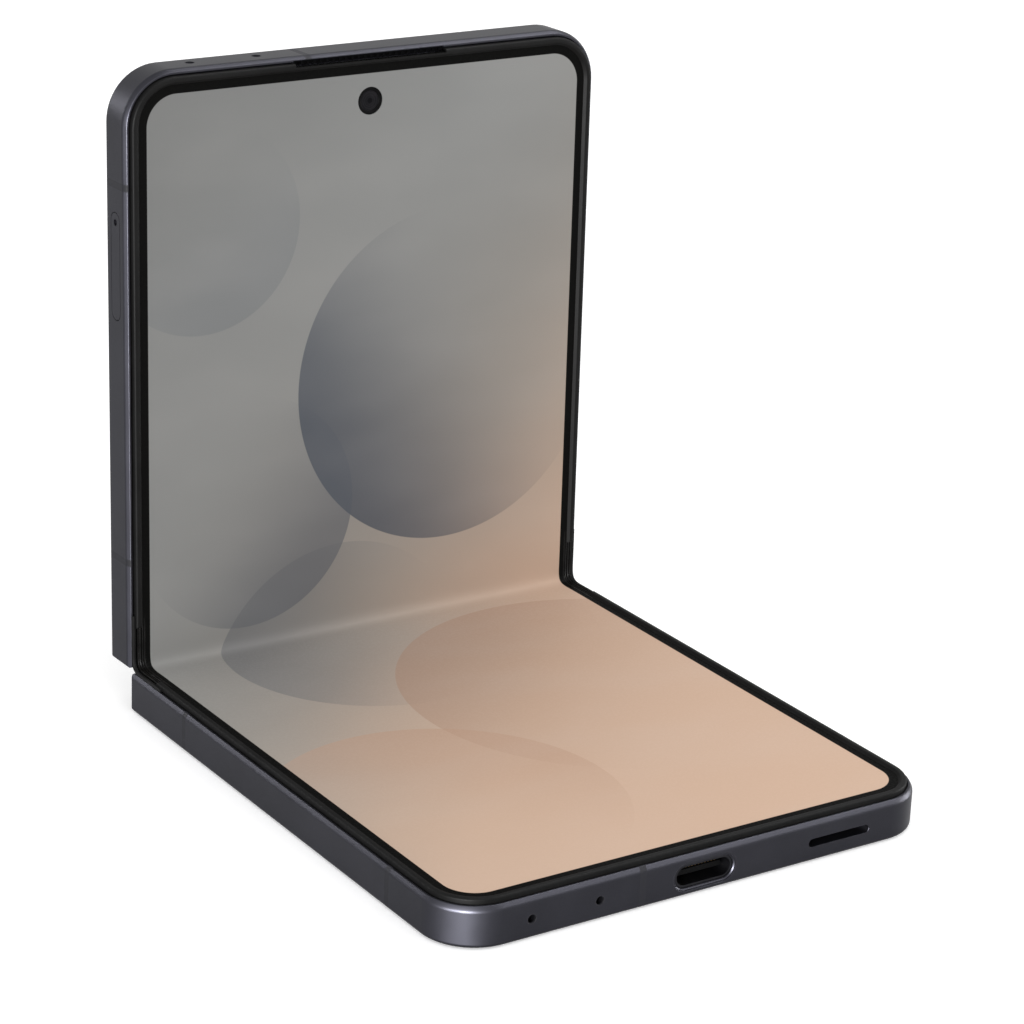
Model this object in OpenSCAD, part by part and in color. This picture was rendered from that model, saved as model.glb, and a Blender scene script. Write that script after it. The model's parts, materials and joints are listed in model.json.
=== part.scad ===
// Foldable smartphone, held open at about a right angle.
// The lower half lies flat with the centre of its back at the origin; its hinge edge points to +Y.
// The upper half stands up from the hinge. Lengths are in millimetres, angles in degrees.
//
// Each half is drawn in its own half space: x across, y from the hinge edge to the far end, and
// z from the back to the display. The hinge is drawn in a hinge space: x along the spine, y across it
// and z away from the back, with its origin midway between the two fold axes.

/* [Body] */
// Width of the phone
body_w = 75.2; // [74:0.1:77]
// Length of one half, from its hinge edge to its far end
half_l = 84; // [83:0.1:86]
// Thickness of the metal frame of one half
frame_t = 5.75; // [5.7:0.01:5.9]
// Radius of the far corners of each half
corner_r = 7.4; // [6.5:0.1:9]
// Height of the rim around the display, above the back
rim_top = 6.5; // [6.4:0.01:6.55]
// Height of the display surface, above the back
display_top = 6.1; // [6.05:0.01:6.15]
// Thickness of the frame wall
wall_t = 2.4; // [2.3:0.05:2.5]

/* [Hinge] */
// Angle between the two display faces at rest
opening = 91; // [80:1:120]
// Distance between the two fold axes
axis_gap = 1.8; // [1.7:0.05:1.9]
// How far each half reaches past its fold axis
end_over = 0.8; // [0.75:0.01:0.82]
// Distance from a fold axis to the line where the display starts to bend
bend_start = 7; // [6.8:0.1:7.2]
// Tilt of the wing plates when the phone is closed
wing_tilt_closed = 12; // [11:0.5:12.5]
// Depth of the spine below the fold axes
spine_depth = 3.2; // [3.1:0.05:3.25]

/* [Ports and holes] */
// Width of the charging socket opening in the frame
usb_w = 9; // [8.9:0.05:9.2]
// Height of the charging socket opening in the frame
usb_h = 3.2; // [3.15:0.05:3.3]
// Height of the socket, speaker and microphone openings above the back
port_z = 2.75; // [2.7:0.05:2.85]
// Diameter of the microphone holes
mic_d = 1.2; // [0.8:0.1:1.4]
// Length of the card tray door
tray_l = 14.9; // [14.5:0.1:15.2]
// Height of the card tray door
tray_h = 2.4; // [2.3:0.05:2.5]

/* [Cameras] */
// Radius of each rear camera ring
ring_r = 6.6; // [6.2:0.1:6.8]
// How far the rear camera rings stand out of the back
ring_out = 1; // [0.6:0.1:1.4]
// Diameter of the front camera hole in the display
front_hole_d = 3.9; // [3.5:0.1:4.2]

/* [Hidden] */
$fn = 48;

// Colours
metal_c = [0.27, 0.27, 0.30];
rim_c = [0.21, 0.21, 0.21];
black_c = [0.06, 0.06, 0.07];
glass_c = [0.16, 0.16, 0.18];
band_c = [0.22, 0.22, 0.25];
lens_c = [0.03, 0.03, 0.05];
flash_c = [0.95, 0.93, 0.85];
fold_image_c = [0.62, 0.60, 0.58];
steel_c = [0.62, 0.62, 0.64];
board_c = [0.08, 0.22, 0.16];
copper_c = [0.72, 0.45, 0.25];
cell_c = [0.20, 0.20, 0.22];
upper_image_c = [0.56, 0.56, 0.56];
lower_image_c = [0.83, 0.71, 0.62];

// A little extra, so that cutters pass fully through what they cut
eps = 0.1;

// Fold: angle that each half has turned from flat, about its own axis
fold = (180 - opening) / 2;
wing_tilt = wing_tilt_closed * fold / 90;
axis_z = frame_t;
half_axis_gap = axis_gap / 2;
lower_axis_y = half_l / 2 - end_over;

// Frame section
frame_chamfer_h = 0.65;
frame_chamfer_w = 0.38;
chamfer_a = atan(frame_chamfer_w / frame_chamfer_h);
chamfer_low_r = 0.9;
chamfer_low_t = chamfer_low_r * tan(chamfer_a / 2);
chamfer_top_r = 0.12;
chamfer_top_t = chamfer_top_r * tan((90 - chamfer_a) / 2);
frame_bottom = 0.1;
frame_bottom_r = 0.6;
pocket_in = 0.65;
pocket_floor = 4.9;
deck_floor = 4.3;
bay_v0 = 8;
hinge_wall_v1 = 6.2;
hinge_top = 4.1;
hinge_step_in = 0.95;
gutter_r = 4.8;
gutter_wall_x = 34.7;
hinge_corner_r = 1.2;
hinge_top_r = 0.4;
hinge_side_r = 0.35;
bend_room_v1 = 8.2;

// Back cover
cover_in = 1.3;
cover_t = 0.55;
cover_hinge_v = 1.6;
cover_fit = 0.05;
cover_cut = 0.6;

// Rim section, as insets from the outside of the frame
rim_in = 0.85;
rim_inner = 1.95;
rim_skirt_in = 1.02;
rim_skirt_floor = 5.45;
rim_round_r = 0.3;
rim_end_r = 0.4;
rim_flat_in = 1.4;
rim_slope_in = 1.6;
rim_slope_drop = 0.04;
rim_v0 = 6;

// Display
display_in = 1.05;
display_t = 0.7;
display_floor = display_top - display_t;
bend_v = end_over + bend_start;
plate_in = 1.45;
plate_v0 = 8.3;

// Antenna bands
band_w = 1;
band_depth = 1.1;
band_end_x = -9.6;
band_side_v = [15.6, 68.6];

// Speaker slot and microphones
speaker_x0 = 16.6;
speaker_x1 = 26.5;
speaker_slot_h = 1.2;
mesh_more = 0.6;
mesh_v0 = 81;
mesh_hole_w = 0.35;
mesh_hole_step = 0.65;
mesh_holes = 15;
mic_x = [-26.2, -16.1];
mic_can_w = 3.4;
mic_can_l = 2;
mic_can_z = [1.5, 4];
mic_port_d = 0.5;

// Charging socket
usb_rim_w = 0.25;
usb_shell_w = 8.9;
usb_shell_h = 3.1;
usb_shell_t = 0.28;
usb_shell_v0 = 75.5;
usb_tongue_w = 6.7;
usb_tongue_t = 0.7;
usb_tongue_back = 1.4;

// Earpiece slot, cut between the frame and the rim
ear_w = 24;
ear_in0 = 0.5;
ear_in1 = 1.35;
ear_mesh_top = 5.4;
ear_mesh_gap = 0.08;
ear_hole_w = 0.6;
ear_holes = 23;

// Cameras
camera_x = [11.6, 27];
camera_v = 72;
flash_x = 19.3;
flash_v = 61.6;
flash_r = 1.7;
flash_t = 0.9;
ring_hole_r = 5.3;
ring_step = 0.3;
lens_r = 5.25;
lens_t = 0.6;
lens_sunk = 0.25;
camera_half_w = 4.6;
camera_barrel_r = 3.6;
front_camera_v = half_l - 7.05;
front_camera_half_w = 3.2;
front_barrel_r = 1.7;
front_barrel_top = 5.85;
front_lens_r = 0.9;
front_lens_sunk = 0.3;

// Card tray
tray_v = 57.3;
tray_z = 2.9;
door_t = 0.9;
tray_gap = 0.1;
tray_depth = 15;
tray_body_v0 = 50.7;
tray_body_v1 = 61.6;
tray_body_z0 = 2.35;
tray_body_z1 = 3.35;
tray_floor_t = 0.3;
tray_side_t = 1;
tray_front_t = 3;
tray_back_t = 1.2;
pin_v = 63.4;
pin_r = 0.45;
rod_x0 = -36.4;
rod_l = 14.6;
rod_guide_x = [-34, -24];
lever_x = -20.9;
lever_v = 60;
lever_v0 = 56;
lever_v1 = 64.2;
lever_w = 1;
lever_t = 0.8;
lever_hub_r = 0.9;
lever_pin_r = 0.36;

// Keys on the right side, drawn with their centres along the half
key_z = 2.9;
key_h = 2.2;
key_gap = 0.12;
volume_v = 57.5;
volume_l = 17;
side_v = 40;
side_l = 12;
volume_out = 0.35;
side_out = 0.05;
key_flange_x = [34.6, 34.9];
key_flange_more = 0.7;
key_switch_x = [33.4, 34, 34.3];
key_switch_half_w = 1.6;
key_strip_x = 33.1;

// Hinge mechanism: four gears of equal size across the spine
gear_teeth = 8;
gear_r = 0.8;
gear_z = -1.85;
shaft_y = 3 * gear_r;
shaft_r = 0.3;
turn_gap = 0.04;
seat_gap = 0.01;
gear_x0 = 13;
gear_x1 = 15;
arm_x0 = 15.2;
arm_x1 = 18.2;
arm_slot_more = 0.4;
arm_slot_v0 = 1.6;
arm_slot_floor = 2.4;
bracket_more = 1.2;
bracket_v1 = 12.6;
bracket_floor = 2;
bracket_wall = 0.4;
arm_l = 9.5;
arm_drop = 0.5;
arm_t = 0.5;
hub_r = 0.78;
plate_near_x = [11.8, 12.8];
plate_far_x = [18.4, 19.4];
follower_x = [19.6, 20.8];
spring_x = [20.9, 23.8];
spring_stop_x = [23.9, 24.7];
spine_r = 4.45;
spine_wall = 0.45;
spine_floor = 0.4;
spine_top = -0.85;
spine_half_x = 34.4;
end_cap_x = 33.2;
slot_floor = -2.75;
centre_half_w = 2.3;
centre_z = [-0.8, -0.55];
cap_pocket = 2.2;
housing_half_w = 3.3;
housing_z = [-2.8, -0.8];
follower_bar_h = 0.8;
spring_r = 0.7;
spring_hole_r = 0.42;
spring_groove_r = 0.58;
spring_turns = 6;
spring_pitch = 0.45;
spring_groove_w = 0.15;

// Wing plates
wing_x = 34;
wing_t = 0.25;
wing_gap = 0.05;
wing_l = 4.6;
wing_notch_l = 2.5;

// Folding stretch of the display
turn = fold + wing_tilt;
turn_rad = turn * PI / 180;
arc_r = (half_axis_gap * (1 - cos(turn)) + bend_start * (cos(fold) - cos(turn)))
        / (sin(turn) - turn_rad * cos(turn));
run_l = bend_start + half_axis_gap - arc_r * turn_rad;
run_y0 = -half_axis_gap - bend_start * cos(fold);
run_z0 = bend_start * sin(fold);
arc_z = run_z0 - run_l * sin(turn) + arc_r * cos(turn);
fold_steps = 16;
fold_end_gap = 0.06;

// Sealed components of the lower half, each as [x0, x1, y0, y1, z0, z1]
lower_cell = [-27, 27, 15, 60, 1, 4.1];
lower_cell_tab = [-8, 8, 60, 61.5, 2, 3.6];
charge_board_box = [-22, 12, 63, 78.5, 3.4, 4.2];
charge_board_notch = [-4.9, 4.9, 75, 80, 3, 5];
speaker_box = [13.5, 33.3, 63, 80.4, 0.9, 4.1];
speaker_mouth_v0 = 72;
motor_place = [-29, 69, 1.2];
motor_r = 4.6;
motor_h = 2.8;
motor_boss_r = 2;
motor_boss_h = 0.2;
coil_v = 38;
coil_z = 0.65;
coil_t = 0.3;
coil_r = 21;
coil_hole_r = 8;
coil_groove_step = 2.6;
coil_groove_w = 0.5;
lower_screw_v = [16, 58];
screw_x = 31.5;

// Sealed components of the upper half, each as [x0, x1, y0, y1, z0, z1]
upper_cell = [-29, 29, 15, 42, 1.3, 4.1];
upper_cell_tab = [-4, 12, 42, 43.4, 2, 3.6];
main_board_box = [-18, 33, 44.5, 64.5, 3.4, 4.2];
shield_boxes = [
    [-16, 6, 46, 63, 1.6, 3.4],
    [8, 20, 46, 58, 1.6, 3.4],
    [22, 31.5, 46, 63, 1.9, 3.4]
];
cover_display_box = [-33, 33, 6.6, 78, 0.6, 1.15];
cover_display_notch = [3.2, 40, 57, 90, 0, 2];
earpiece_box = [-13.5, -4.2, 76.6, 81.4, 1.4, 4.2];
cage_box = [-34.9, -20.1, 50, 62.2, 1.6, 4.1];
cage_room = [-36, -20.6, 50.4, 61.9, 2.1, 3.6];
cage_lever_room = [-22.4, -20, 55, 62.4, 2.1, 3.6];
rod_guide_box = [rod_guide_x[0], rod_guide_x[1], 62.2, 64.6, 2, 3.8];
upper_screw_places = [[-31.5, 17], [31.3, 17], [-31.5, 46], [-31.5, 76]];

// Screws
screw_head_r = 1.1;
screw_head_h = 0.5;
screw_r = 0.6;
screw_l = 1.8;

// ---------------------------------------------------------------- placing

module lower_space() translate([0, half_l / 2, 0]) mirror([0, 1, 0]) children();

module hinge_space()
    translate([0, lower_axis_y, axis_z]) rotate([fold, 0, 0]) translate([0, half_axis_gap, 0])
        children();

module upper_space()
    hinge_space() translate([0, half_axis_gap, 0]) rotate([fold, 0, 0])
        translate([0, -end_over, -axis_z]) children();

module both_sides() {
    children();
    mirror([1, 0, 0]) children();
}

// Turns a shape drawn towards +y to face -y when side is -1
module facing(side)
    if (side < 0) mirror([0, 1, 0]) children();
    else children();

// A slab between two x values, from an outline drawn in (y, z)
module along_x(x0, x1)
    translate([x0, 0, 0]) rotate([90, 0, 90]) linear_extrude(x1 - x0) children();

// A slab between two y values, from an outline drawn in (x, z)
module along_y(y0, y1) translate([0, y1, 0]) rotate([90, 0, 0]) linear_extrude(y1 - y0) children();

module block(x0, x1, y0, y1, z0, z1)
    translate([x0, y0, z0]) cube([x1 - x0, y1 - y0, z1 - z0]);

// The same, from one list of the six values
module box(b) block(b[0], b[1], b[2], b[3], b[4], b[5]);

// ---------------------------------------------------------------- shared shapes

// Points of a quarter round about (cx, cy), from angle a0 to a1
function arc_points(cx, cy, r, a0, a1, steps = 6) =
    [for (i = [0:steps]) let (a = a0 + (a1 - a0) * i / steps) [cx + r * cos(a), cy + r * sin(a)]];

// Outline with two round far corners, from y = v0 to the far end, set in from the outside
module far_outline(inset, v0, r = corner_r) {
    half_w = body_w / 2 - inset;
    far = half_l - inset;
    cr = max(r - inset, 0.5);
    translate([-half_w, v0]) square([2 * half_w, far - cr - v0]);
    translate([-half_w + cr, v0]) square([2 * (half_w - cr), far - v0]);
    for (s = [-1, 1]) translate([s * (half_w - cr), far - cr]) circle(cr);
}

// Sweeps a section, drawn as (inset, z), along both sides and round the far end of a half
module rim_sweep(v0) {
    side_x = body_w / 2;
    end_y = half_l - corner_r;
    both_sides() {
        translate([-side_x, 0, 0]) along_y(v0, end_y) children();
        translate([side_x - corner_r, end_y, 0]) rotate_extrude(angle = 90)
            translate([corner_r, 0]) mirror([1, 0]) children();
    }
    translate([side_x - corner_r, half_l, 0]) rotate([90, 0, -90])
        linear_extrude(body_w - 2 * corner_r) children();
}

// A slot with round ends, long in x, standing in (x, z)
module slot_outline(length, height)
    union() {
        square([length - height, height], center = true);
        for (s = [-1, 1]) translate([s * (length - height) / 2, 0]) circle(height / 2);
    }

// Rounds off a corner at the origin, whose sides run along +x and +y
module corner_cutter(r) difference() {
    translate([-1, -1]) square([r + 1, r + 1]);
    translate([r, r]) circle(r);
}

module frame_section()
    polygon(concat(
        arc_points(frame_chamfer_w + chamfer_top_t, frame_t - chamfer_top_r, chamfer_top_r,
                   90, 180 - chamfer_a, 4),
        arc_points(chamfer_low_r, frame_t - frame_chamfer_h - chamfer_low_t, chamfer_low_r,
                   180 - chamfer_a, 180, 4),
        arc_points(frame_bottom_r, frame_bottom + frame_bottom_r, frame_bottom_r, 180, 270),
        [[wall_t, frame_bottom], [wall_t, pocket_floor], [pocket_in, pocket_floor],
         [pocket_in, frame_t]]
    ));

module band_cutters() {
    block(band_end_x - band_w / 2, band_end_x + band_w / 2, half_l - band_depth, half_l + 1,
          -1, frame_t + 1);
    for (v = band_side_v) both_sides()
        block(-body_w / 2 - 1, -body_w / 2 + band_depth, v - band_w / 2, v + band_w / 2,
              -1, frame_t + 1);
}

// What both frames share: the side ring, the deck under the display and the wall of the hinge gutter
module frame_blank() {
    difference() {
        union() {
            rim_sweep(0) frame_section();
            block(-body_w / 2 + wall_t - eps, body_w / 2 - wall_t + eps, bay_v0,
                  half_l - wall_t + eps, deck_floor, pocket_floor);
            block(-body_w / 2 + wall_t - eps, body_w / 2 - wall_t + eps, 0, hinge_wall_v1,
                  frame_bottom, hinge_top);
            both_sides() block(gutter_wall_x, body_w / 2 - wall_t + eps, 0, bay_v0,
                               frame_bottom, hinge_top);
        }
        // Hinge gutter
        translate([-gutter_wall_x, end_over, axis_z]) rotate([0, 90, 0])
            cylinder(r = gutter_r, h = 2 * gutter_wall_x);
        block(-gutter_wall_x, gutter_wall_x, -1, end_over, axis_z - gutter_r, frame_t + 1);
        // Room for the bending display
        both_sides() block(0, body_w / 2 - hinge_step_in, -1, bend_room_v1, hinge_top, frame_t + 1);
        // Seat of the back cover
        translate([0, 0, -1]) linear_extrude(cover_cut + 1) far_outline(cover_in, cover_hinge_v);
        // Round edges at the hinge end
        along_x(-body_w, body_w) {
            translate([0, frame_bottom]) corner_cutter(hinge_corner_r);
            translate([0, frame_t]) mirror([0, 1]) corner_cutter(hinge_top_r);
        }
        both_sides() translate([-body_w / 2, 0, -1]) linear_extrude(frame_t + 2)
            corner_cutter(hinge_side_r);
        // Slots through the gutter wall for the hinge arms
        both_sides() block(arm_x0 - arm_slot_more, arm_x1 + arm_slot_more, arm_slot_v0,
                           hinge_wall_v1 + eps, arm_slot_floor, hinge_top + 1);
        band_cutters();
    }
}

module antenna_bands()
    intersection() {
        rim_sweep(0) frame_section();
        band_cutters();
    }

module back_cover_outline() far_outline(cover_in + cover_fit, cover_hinge_v + cover_fit);

// Raised rim that runs round the display and stops short of the fold
module rim_ring() difference() {
    rim_sweep(rim_v0) polygon(concat(
        [[rim_in, rim_skirt_floor], [rim_skirt_in, rim_skirt_floor], [rim_skirt_in, display_top],
         [rim_inner, display_top], [rim_slope_in, rim_top - rim_slope_drop],
         [rim_flat_in, rim_top]],
        arc_points(rim_in + rim_round_r, rim_top - rim_round_r, rim_round_r, 90, 180, 4)
    ));
    along_x(-body_w, body_w) translate([rim_v0, rim_top]) mirror([0, 1]) corner_cutter(rim_end_r);
}

module display_panel() linear_extrude(display_t) far_outline(display_in, bend_v);

module display_plate(z0, z1) translate([0, 0, z0]) linear_extrude(z1 - z0)
    far_outline(plate_in, plate_v0);

module screw(x, v) {
    translate([x, v, deck_floor - screw_head_h]) cylinder(r = screw_head_r, h = screw_head_h);
    translate([x, v, deck_floor - screw_head_h - screw_l]) cylinder(r = screw_r, h = screw_l + eps);
}

// U-shaped guide under the deck, in which the end of a hinge arm slides
module hinge_brackets() both_sides() difference() {
    block(arm_x0 - bracket_more, arm_x1 + bracket_more, hinge_wall_v1 + eps, bracket_v1,
          bracket_floor, deck_floor);
    block(arm_x0 - bracket_more + 0.9, arm_x1 + bracket_more - 0.9, hinge_wall_v1,
          bracket_v1 - bracket_wall, bracket_floor + bracket_wall, deck_floor - eps);
    block(arm_x0 - 2, arm_x1 + 2, hinge_wall_v1, bay_v0, hinge_top, frame_t);
}

module mic_cans() for (x = mic_x) difference() {
    block(x - mic_can_w / 2, x + mic_can_w / 2, half_l - wall_t - mic_can_l, half_l - wall_t,
          mic_can_z[0], mic_can_z[1]);
    translate([x, half_l - wall_t - 1, port_z]) rotate([-90, 0, 0]) cylinder(d = mic_port_d, h = 2);
}

module end_holes() {
    for (x = mic_x) translate([x, half_l - wall_t - eps, port_z]) rotate([-90, 0, 0])
        cylinder(d = mic_d, h = wall_t + 1);
}

// ---------------------------------------------------------------- lower half

module lower_frame() color(metal_c) lower_space() difference() {
    frame_blank();
    along_y(half_l - wall_t - eps, half_l + 1) translate([0, port_z]) slot_outline(usb_w, usb_h);
    along_y(half_l - usb_rim_w, half_l + 1) translate([0, port_z])
        slot_outline(usb_w + 2 * usb_rim_w, usb_h + 2 * usb_rim_w);
    along_y(half_l - wall_t - eps, half_l + 1)
        translate([(speaker_x0 + speaker_x1) / 2, port_z])
            slot_outline(speaker_x1 - speaker_x0, speaker_slot_h);
    end_holes();
}

module lower_antenna_bands() color(band_c) lower_space() antenna_bands();

module lower_back_cover() color(glass_c) lower_space() linear_extrude(cover_t) back_cover_outline();

module lower_rim() color(rim_c) lower_space() rim_ring();

module display_lower() color(lower_image_c) lower_space()
    translate([0, 0, display_floor]) display_panel();

module lower_display_plate() color(steel_c) lower_space() display_plate(pocket_floor, display_floor);

module lower_battery() color(cell_c) lower_space() {
    box(lower_cell);
    box(lower_cell_tab);
}

module charge_board() color(board_c) lower_space() difference() {
    box(charge_board_box);
    box(charge_board_notch);
}

module usb_shell() color(steel_c) lower_space() difference() {
    along_y(usb_shell_v0, half_l - usb_rim_w - eps) translate([0, port_z])
        slot_outline(usb_shell_w, usb_shell_h);
    along_y(usb_shell_v0 + 0.5, half_l) translate([0, port_z])
        slot_outline(usb_shell_w - 2 * usb_shell_t, usb_shell_h - 2 * usb_shell_t);
}

module usb_tongue() color(black_c) lower_space()
    block(-usb_tongue_w / 2, usb_tongue_w / 2, usb_shell_v0 + 0.5, half_l - usb_tongue_back,
          port_z - usb_tongue_t / 2, port_z + usb_tongue_t / 2);

module speaker() color(black_c) lower_space() difference() {
    box(speaker_box);
    block(speaker_x0, speaker_x1, speaker_mouth_v0, half_l,
          port_z - speaker_slot_h / 2, port_z + speaker_slot_h / 2);
}

module speaker_mesh() color(steel_c) lower_space() difference() {
    block(speaker_x0 - mesh_more, speaker_x1 + mesh_more, mesh_v0, half_l - wall_t,
          port_z - speaker_slot_h, port_z + speaker_slot_h);
    for (i = [0:mesh_holes - 1]) let (x = speaker_x0 + 0.2 + mesh_hole_step * i)
        block(x, x + mesh_hole_w, mesh_v0 - 1, half_l, port_z - 0.5, port_z + 0.5);
}

module bottom_microphones() color(steel_c) lower_space() mic_cans();

module vibration_motor() color(steel_c) lower_space() translate(motor_place) {
    cylinder(r = motor_r, h = motor_h);
    translate([0, 0, motor_h]) cylinder(r = motor_boss_r, h = motor_boss_h);
}

module charging_coil() color(copper_c) lower_space() translate([0, coil_v, coil_z]) difference() {
    cylinder(r = coil_r, h = coil_t);
    for (r = [coil_hole_r:coil_groove_step:coil_r - 2]) translate([0, 0, -eps]) difference() {
        cylinder(r = r + coil_groove_w, h = coil_t / 2 + eps);
        translate([0, 0, -eps]) cylinder(r = r, h = coil_t + 2 * eps);
    }
    translate([0, 0, -1]) cylinder(r = coil_hole_r, h = 2);
}

module lower_screws() color(steel_c) lower_space() for (v = lower_screw_v) both_sides()
    screw(screw_x, v);

module lower_hinge_brackets() color(steel_c) lower_space() hinge_brackets();

// ---------------------------------------------------------------- upper half

// Earpiece slot, between the frame and the rim
module earpiece_slot()
    block(-ear_w / 2, ear_w / 2, half_l - ear_in1, half_l - ear_in0, pocket_floor, rim_top + 1);

module upper_frame() color(metal_c) upper_space() difference() {
    frame_blank();
    end_holes();
    translate([0, front_camera_v, deck_floor - eps]) cylinder(r = front_barrel_r + 0.4, h = 2);
    earpiece_slot();
    // Card tray slot
    translate([-body_w / 2 - 1, tray_v, tray_z]) rotate([90, 0, 90])
        linear_extrude(wall_t + 1 + eps) slot_outline(tray_l + 2 * tray_gap, tray_h + 2 * tray_gap);
    // Key slots
    translate([body_w / 2 - wall_t - eps, volume_v, key_z]) rotate([90, 0, 90])
        linear_extrude(wall_t + 1) slot_outline(volume_l + 2 * key_gap, key_h + 2 * key_gap);
    translate([body_w / 2 - wall_t - eps, side_v, key_z]) rotate([90, 0, 90])
        linear_extrude(wall_t + 1) slot_outline(side_l + 2 * key_gap, key_h + 2 * key_gap);
}

module upper_antenna_bands() color(band_c) upper_space() difference() {
    antenna_bands();
    earpiece_slot();
}

module upper_back_cover() color(glass_c) upper_space() difference() {
    linear_extrude(cover_t) back_cover_outline();
    for (x = camera_x) translate([x, camera_v, -1]) cylinder(r = ring_r + cover_fit, h = 3);
    translate([flash_x, flash_v, -1]) cylinder(r = flash_r + cover_fit, h = 3);
}

module upper_rim() color(rim_c) upper_space() difference() {
    rim_ring();
    block(-ear_w / 2, ear_w / 2, half_l - ear_in1, half_l, frame_t - 1, rim_top + 1);
}

module display_upper() color(upper_image_c) upper_space() difference() {
    translate([0, 0, display_floor]) display_panel();
    translate([0, front_camera_v, display_floor - eps]) cylinder(d = front_hole_d, h = 2);
    block(-ear_w / 2, ear_w / 2, half_l - ear_in1, half_l, display_floor - eps, rim_top);
}

module upper_display_plate() color(steel_c) upper_space() difference() {
    display_plate(pocket_floor, display_floor);
    translate([0, front_camera_v, pocket_floor - eps]) cylinder(d = 5, h = 2);
}

module upper_battery() color(cell_c) upper_space() {
    box(upper_cell);
    box(upper_cell_tab);
}

module main_board() color(board_c) upper_space() box(main_board_box);

module board_shields() color(steel_c) upper_space() for (b = shield_boxes) box(b);

module cover_display() color(black_c) upper_space() difference() {
    box(cover_display_box);
    box(cover_display_notch);
}

module camera_rings() color(metal_c) upper_space() for (x = camera_x)
    translate([x, camera_v, -ring_out]) difference() {
        union() {
            cylinder(r = ring_r - ring_step, h = ring_step);
            translate([0, 0, ring_step]) cylinder(r = ring_r, h = ring_out + cover_t - ring_step);
        }
        translate([0, 0, -eps]) cylinder(r = ring_hole_r, h = 3);
    }

module camera_lenses() color(lens_c) upper_space() for (x = camera_x)
    translate([x, camera_v, -ring_out + lens_sunk]) cylinder(r = lens_r, h = lens_t);

module camera_modules() color(black_c) upper_space() for (x = camera_x)
    translate([x, camera_v, 0]) {
        block(-camera_half_w, camera_half_w, -camera_half_w, camera_half_w, 1.2, 4.2);
        translate([0, 0, 0.1]) cylinder(r = camera_barrel_r, h = 1.2);
    }

module flash_lens() color(flash_c) upper_space()
    translate([flash_x, flash_v, 0]) cylinder(r = flash_r, h = flash_t);

module front_camera() color(black_c) upper_space() translate([0, front_camera_v, 0]) difference() {
    union() {
        block(-front_camera_half_w, front_camera_half_w, -front_camera_half_w,
              front_camera_half_w, 1.6, 4.2);
        translate([0, 0, 4.1]) cylinder(r = front_barrel_r, h = front_barrel_top - 4.1);
    }
    translate([0, 0, front_barrel_top - front_lens_sunk]) cylinder(r = front_lens_r, h = 1);
}

module earpiece() color(black_c) upper_space() box(earpiece_box);

module earpiece_mesh() color(steel_c) upper_space() difference() {
    block(-ear_w / 2 + ear_mesh_gap, ear_w / 2 - ear_mesh_gap, half_l - ear_in1 + ear_mesh_gap,
          half_l - ear_in0 - ear_mesh_gap, pocket_floor, ear_mesh_top);
    for (i = [0:ear_holes - 1]) let (x = i - (ear_holes - 1) / 2)
        block(x - ear_hole_w / 2, x + ear_hole_w / 2, half_l - 1.12, half_l - 0.75,
              ear_mesh_top - 0.2, rim_top);
}

module top_microphones() color(steel_c) upper_space() mic_cans();

// Cage round the seated tray, with the guide of the eject rod and the pivot pin of the lever
module card_reader() color(steel_c) upper_space() {
    reader_cage();
    difference() {
        box(rod_guide_box);
        translate([rod_guide_x[0] - 1, pin_v, tray_z]) rotate([0, 90, 0])
            cylinder(r = pin_r + turn_gap, h = rod_guide_x[1] - rod_guide_x[0] + 2);
    }
    translate([lever_x, lever_v, cage_box[4] + eps])
        cylinder(r = lever_pin_r, h = cage_box[5] - cage_box[4] - 2 * eps);
}

module reader_cage() difference() {
    box(cage_box);
    box(cage_room);
    box(cage_lever_room);
}

module key_switches() color(steel_c) upper_space() {
    for (v = [volume_v - 5, volume_v + 5, side_v]) {
        block(key_switch_x[0], key_switch_x[1], v - key_switch_half_w, v + key_switch_half_w,
              key_z - 1.2, key_z + 1.2);
        translate([key_switch_x[1], v, key_z]) rotate([0, 90, 0])
            cylinder(r = 0.9, h = key_switch_x[2] - key_switch_x[1]);
    }
    block(key_strip_x, key_switch_x[0], side_v - 4, volume_v + 8, key_z - 1.5, key_z + 1.4);
}

module upper_screws() color(steel_c) upper_space() for (p = upper_screw_places)
    screw(p[0], p[1]);

module upper_hinge_brackets() color(steel_c) upper_space() hinge_brackets();

module card_tray() color(metal_c) upper_space() difference() {
    union() {
        translate([-body_w / 2, tray_v, tray_z]) rotate([90, 0, 90])
            linear_extrude(door_t) slot_outline(tray_l, tray_h);
        block(-body_w / 2 + door_t - eps, -body_w / 2 + tray_depth, tray_body_v0, tray_body_v1,
              tray_body_z0, tray_body_z1);
    }
    // Card recess
    block(-body_w / 2 + tray_front_t, -body_w / 2 + tray_depth - tray_back_t,
          tray_body_v0 + tray_side_t, tray_body_v1 - tray_side_t,
          tray_body_z0 + tray_floor_t, tray_body_z1 + 1);
    translate([-body_w / 2 - 1, pin_v, tray_z]) rotate([0, 90, 0]) cylinder(r = pin_r, h = 3);
}

module eject_rod() color(steel_c) upper_space()
    translate([rod_x0, pin_v, tray_z]) rotate([0, 90, 0]) cylinder(r = pin_r, h = rod_l);

module eject_lever() color(steel_c) upper_space() difference() {
    union() {
        block(lever_x - lever_w / 2, lever_x + lever_w / 2, lever_v0, lever_v1,
              tray_z - lever_t / 2, tray_z + lever_t / 2);
        translate([lever_x, lever_v, tray_z - lever_t / 2]) cylinder(r = lever_hub_r, h = lever_t);
    }
    translate([lever_x, lever_v, 0]) cylinder(r = lever_pin_r + turn_gap, h = 6);
}

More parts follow.
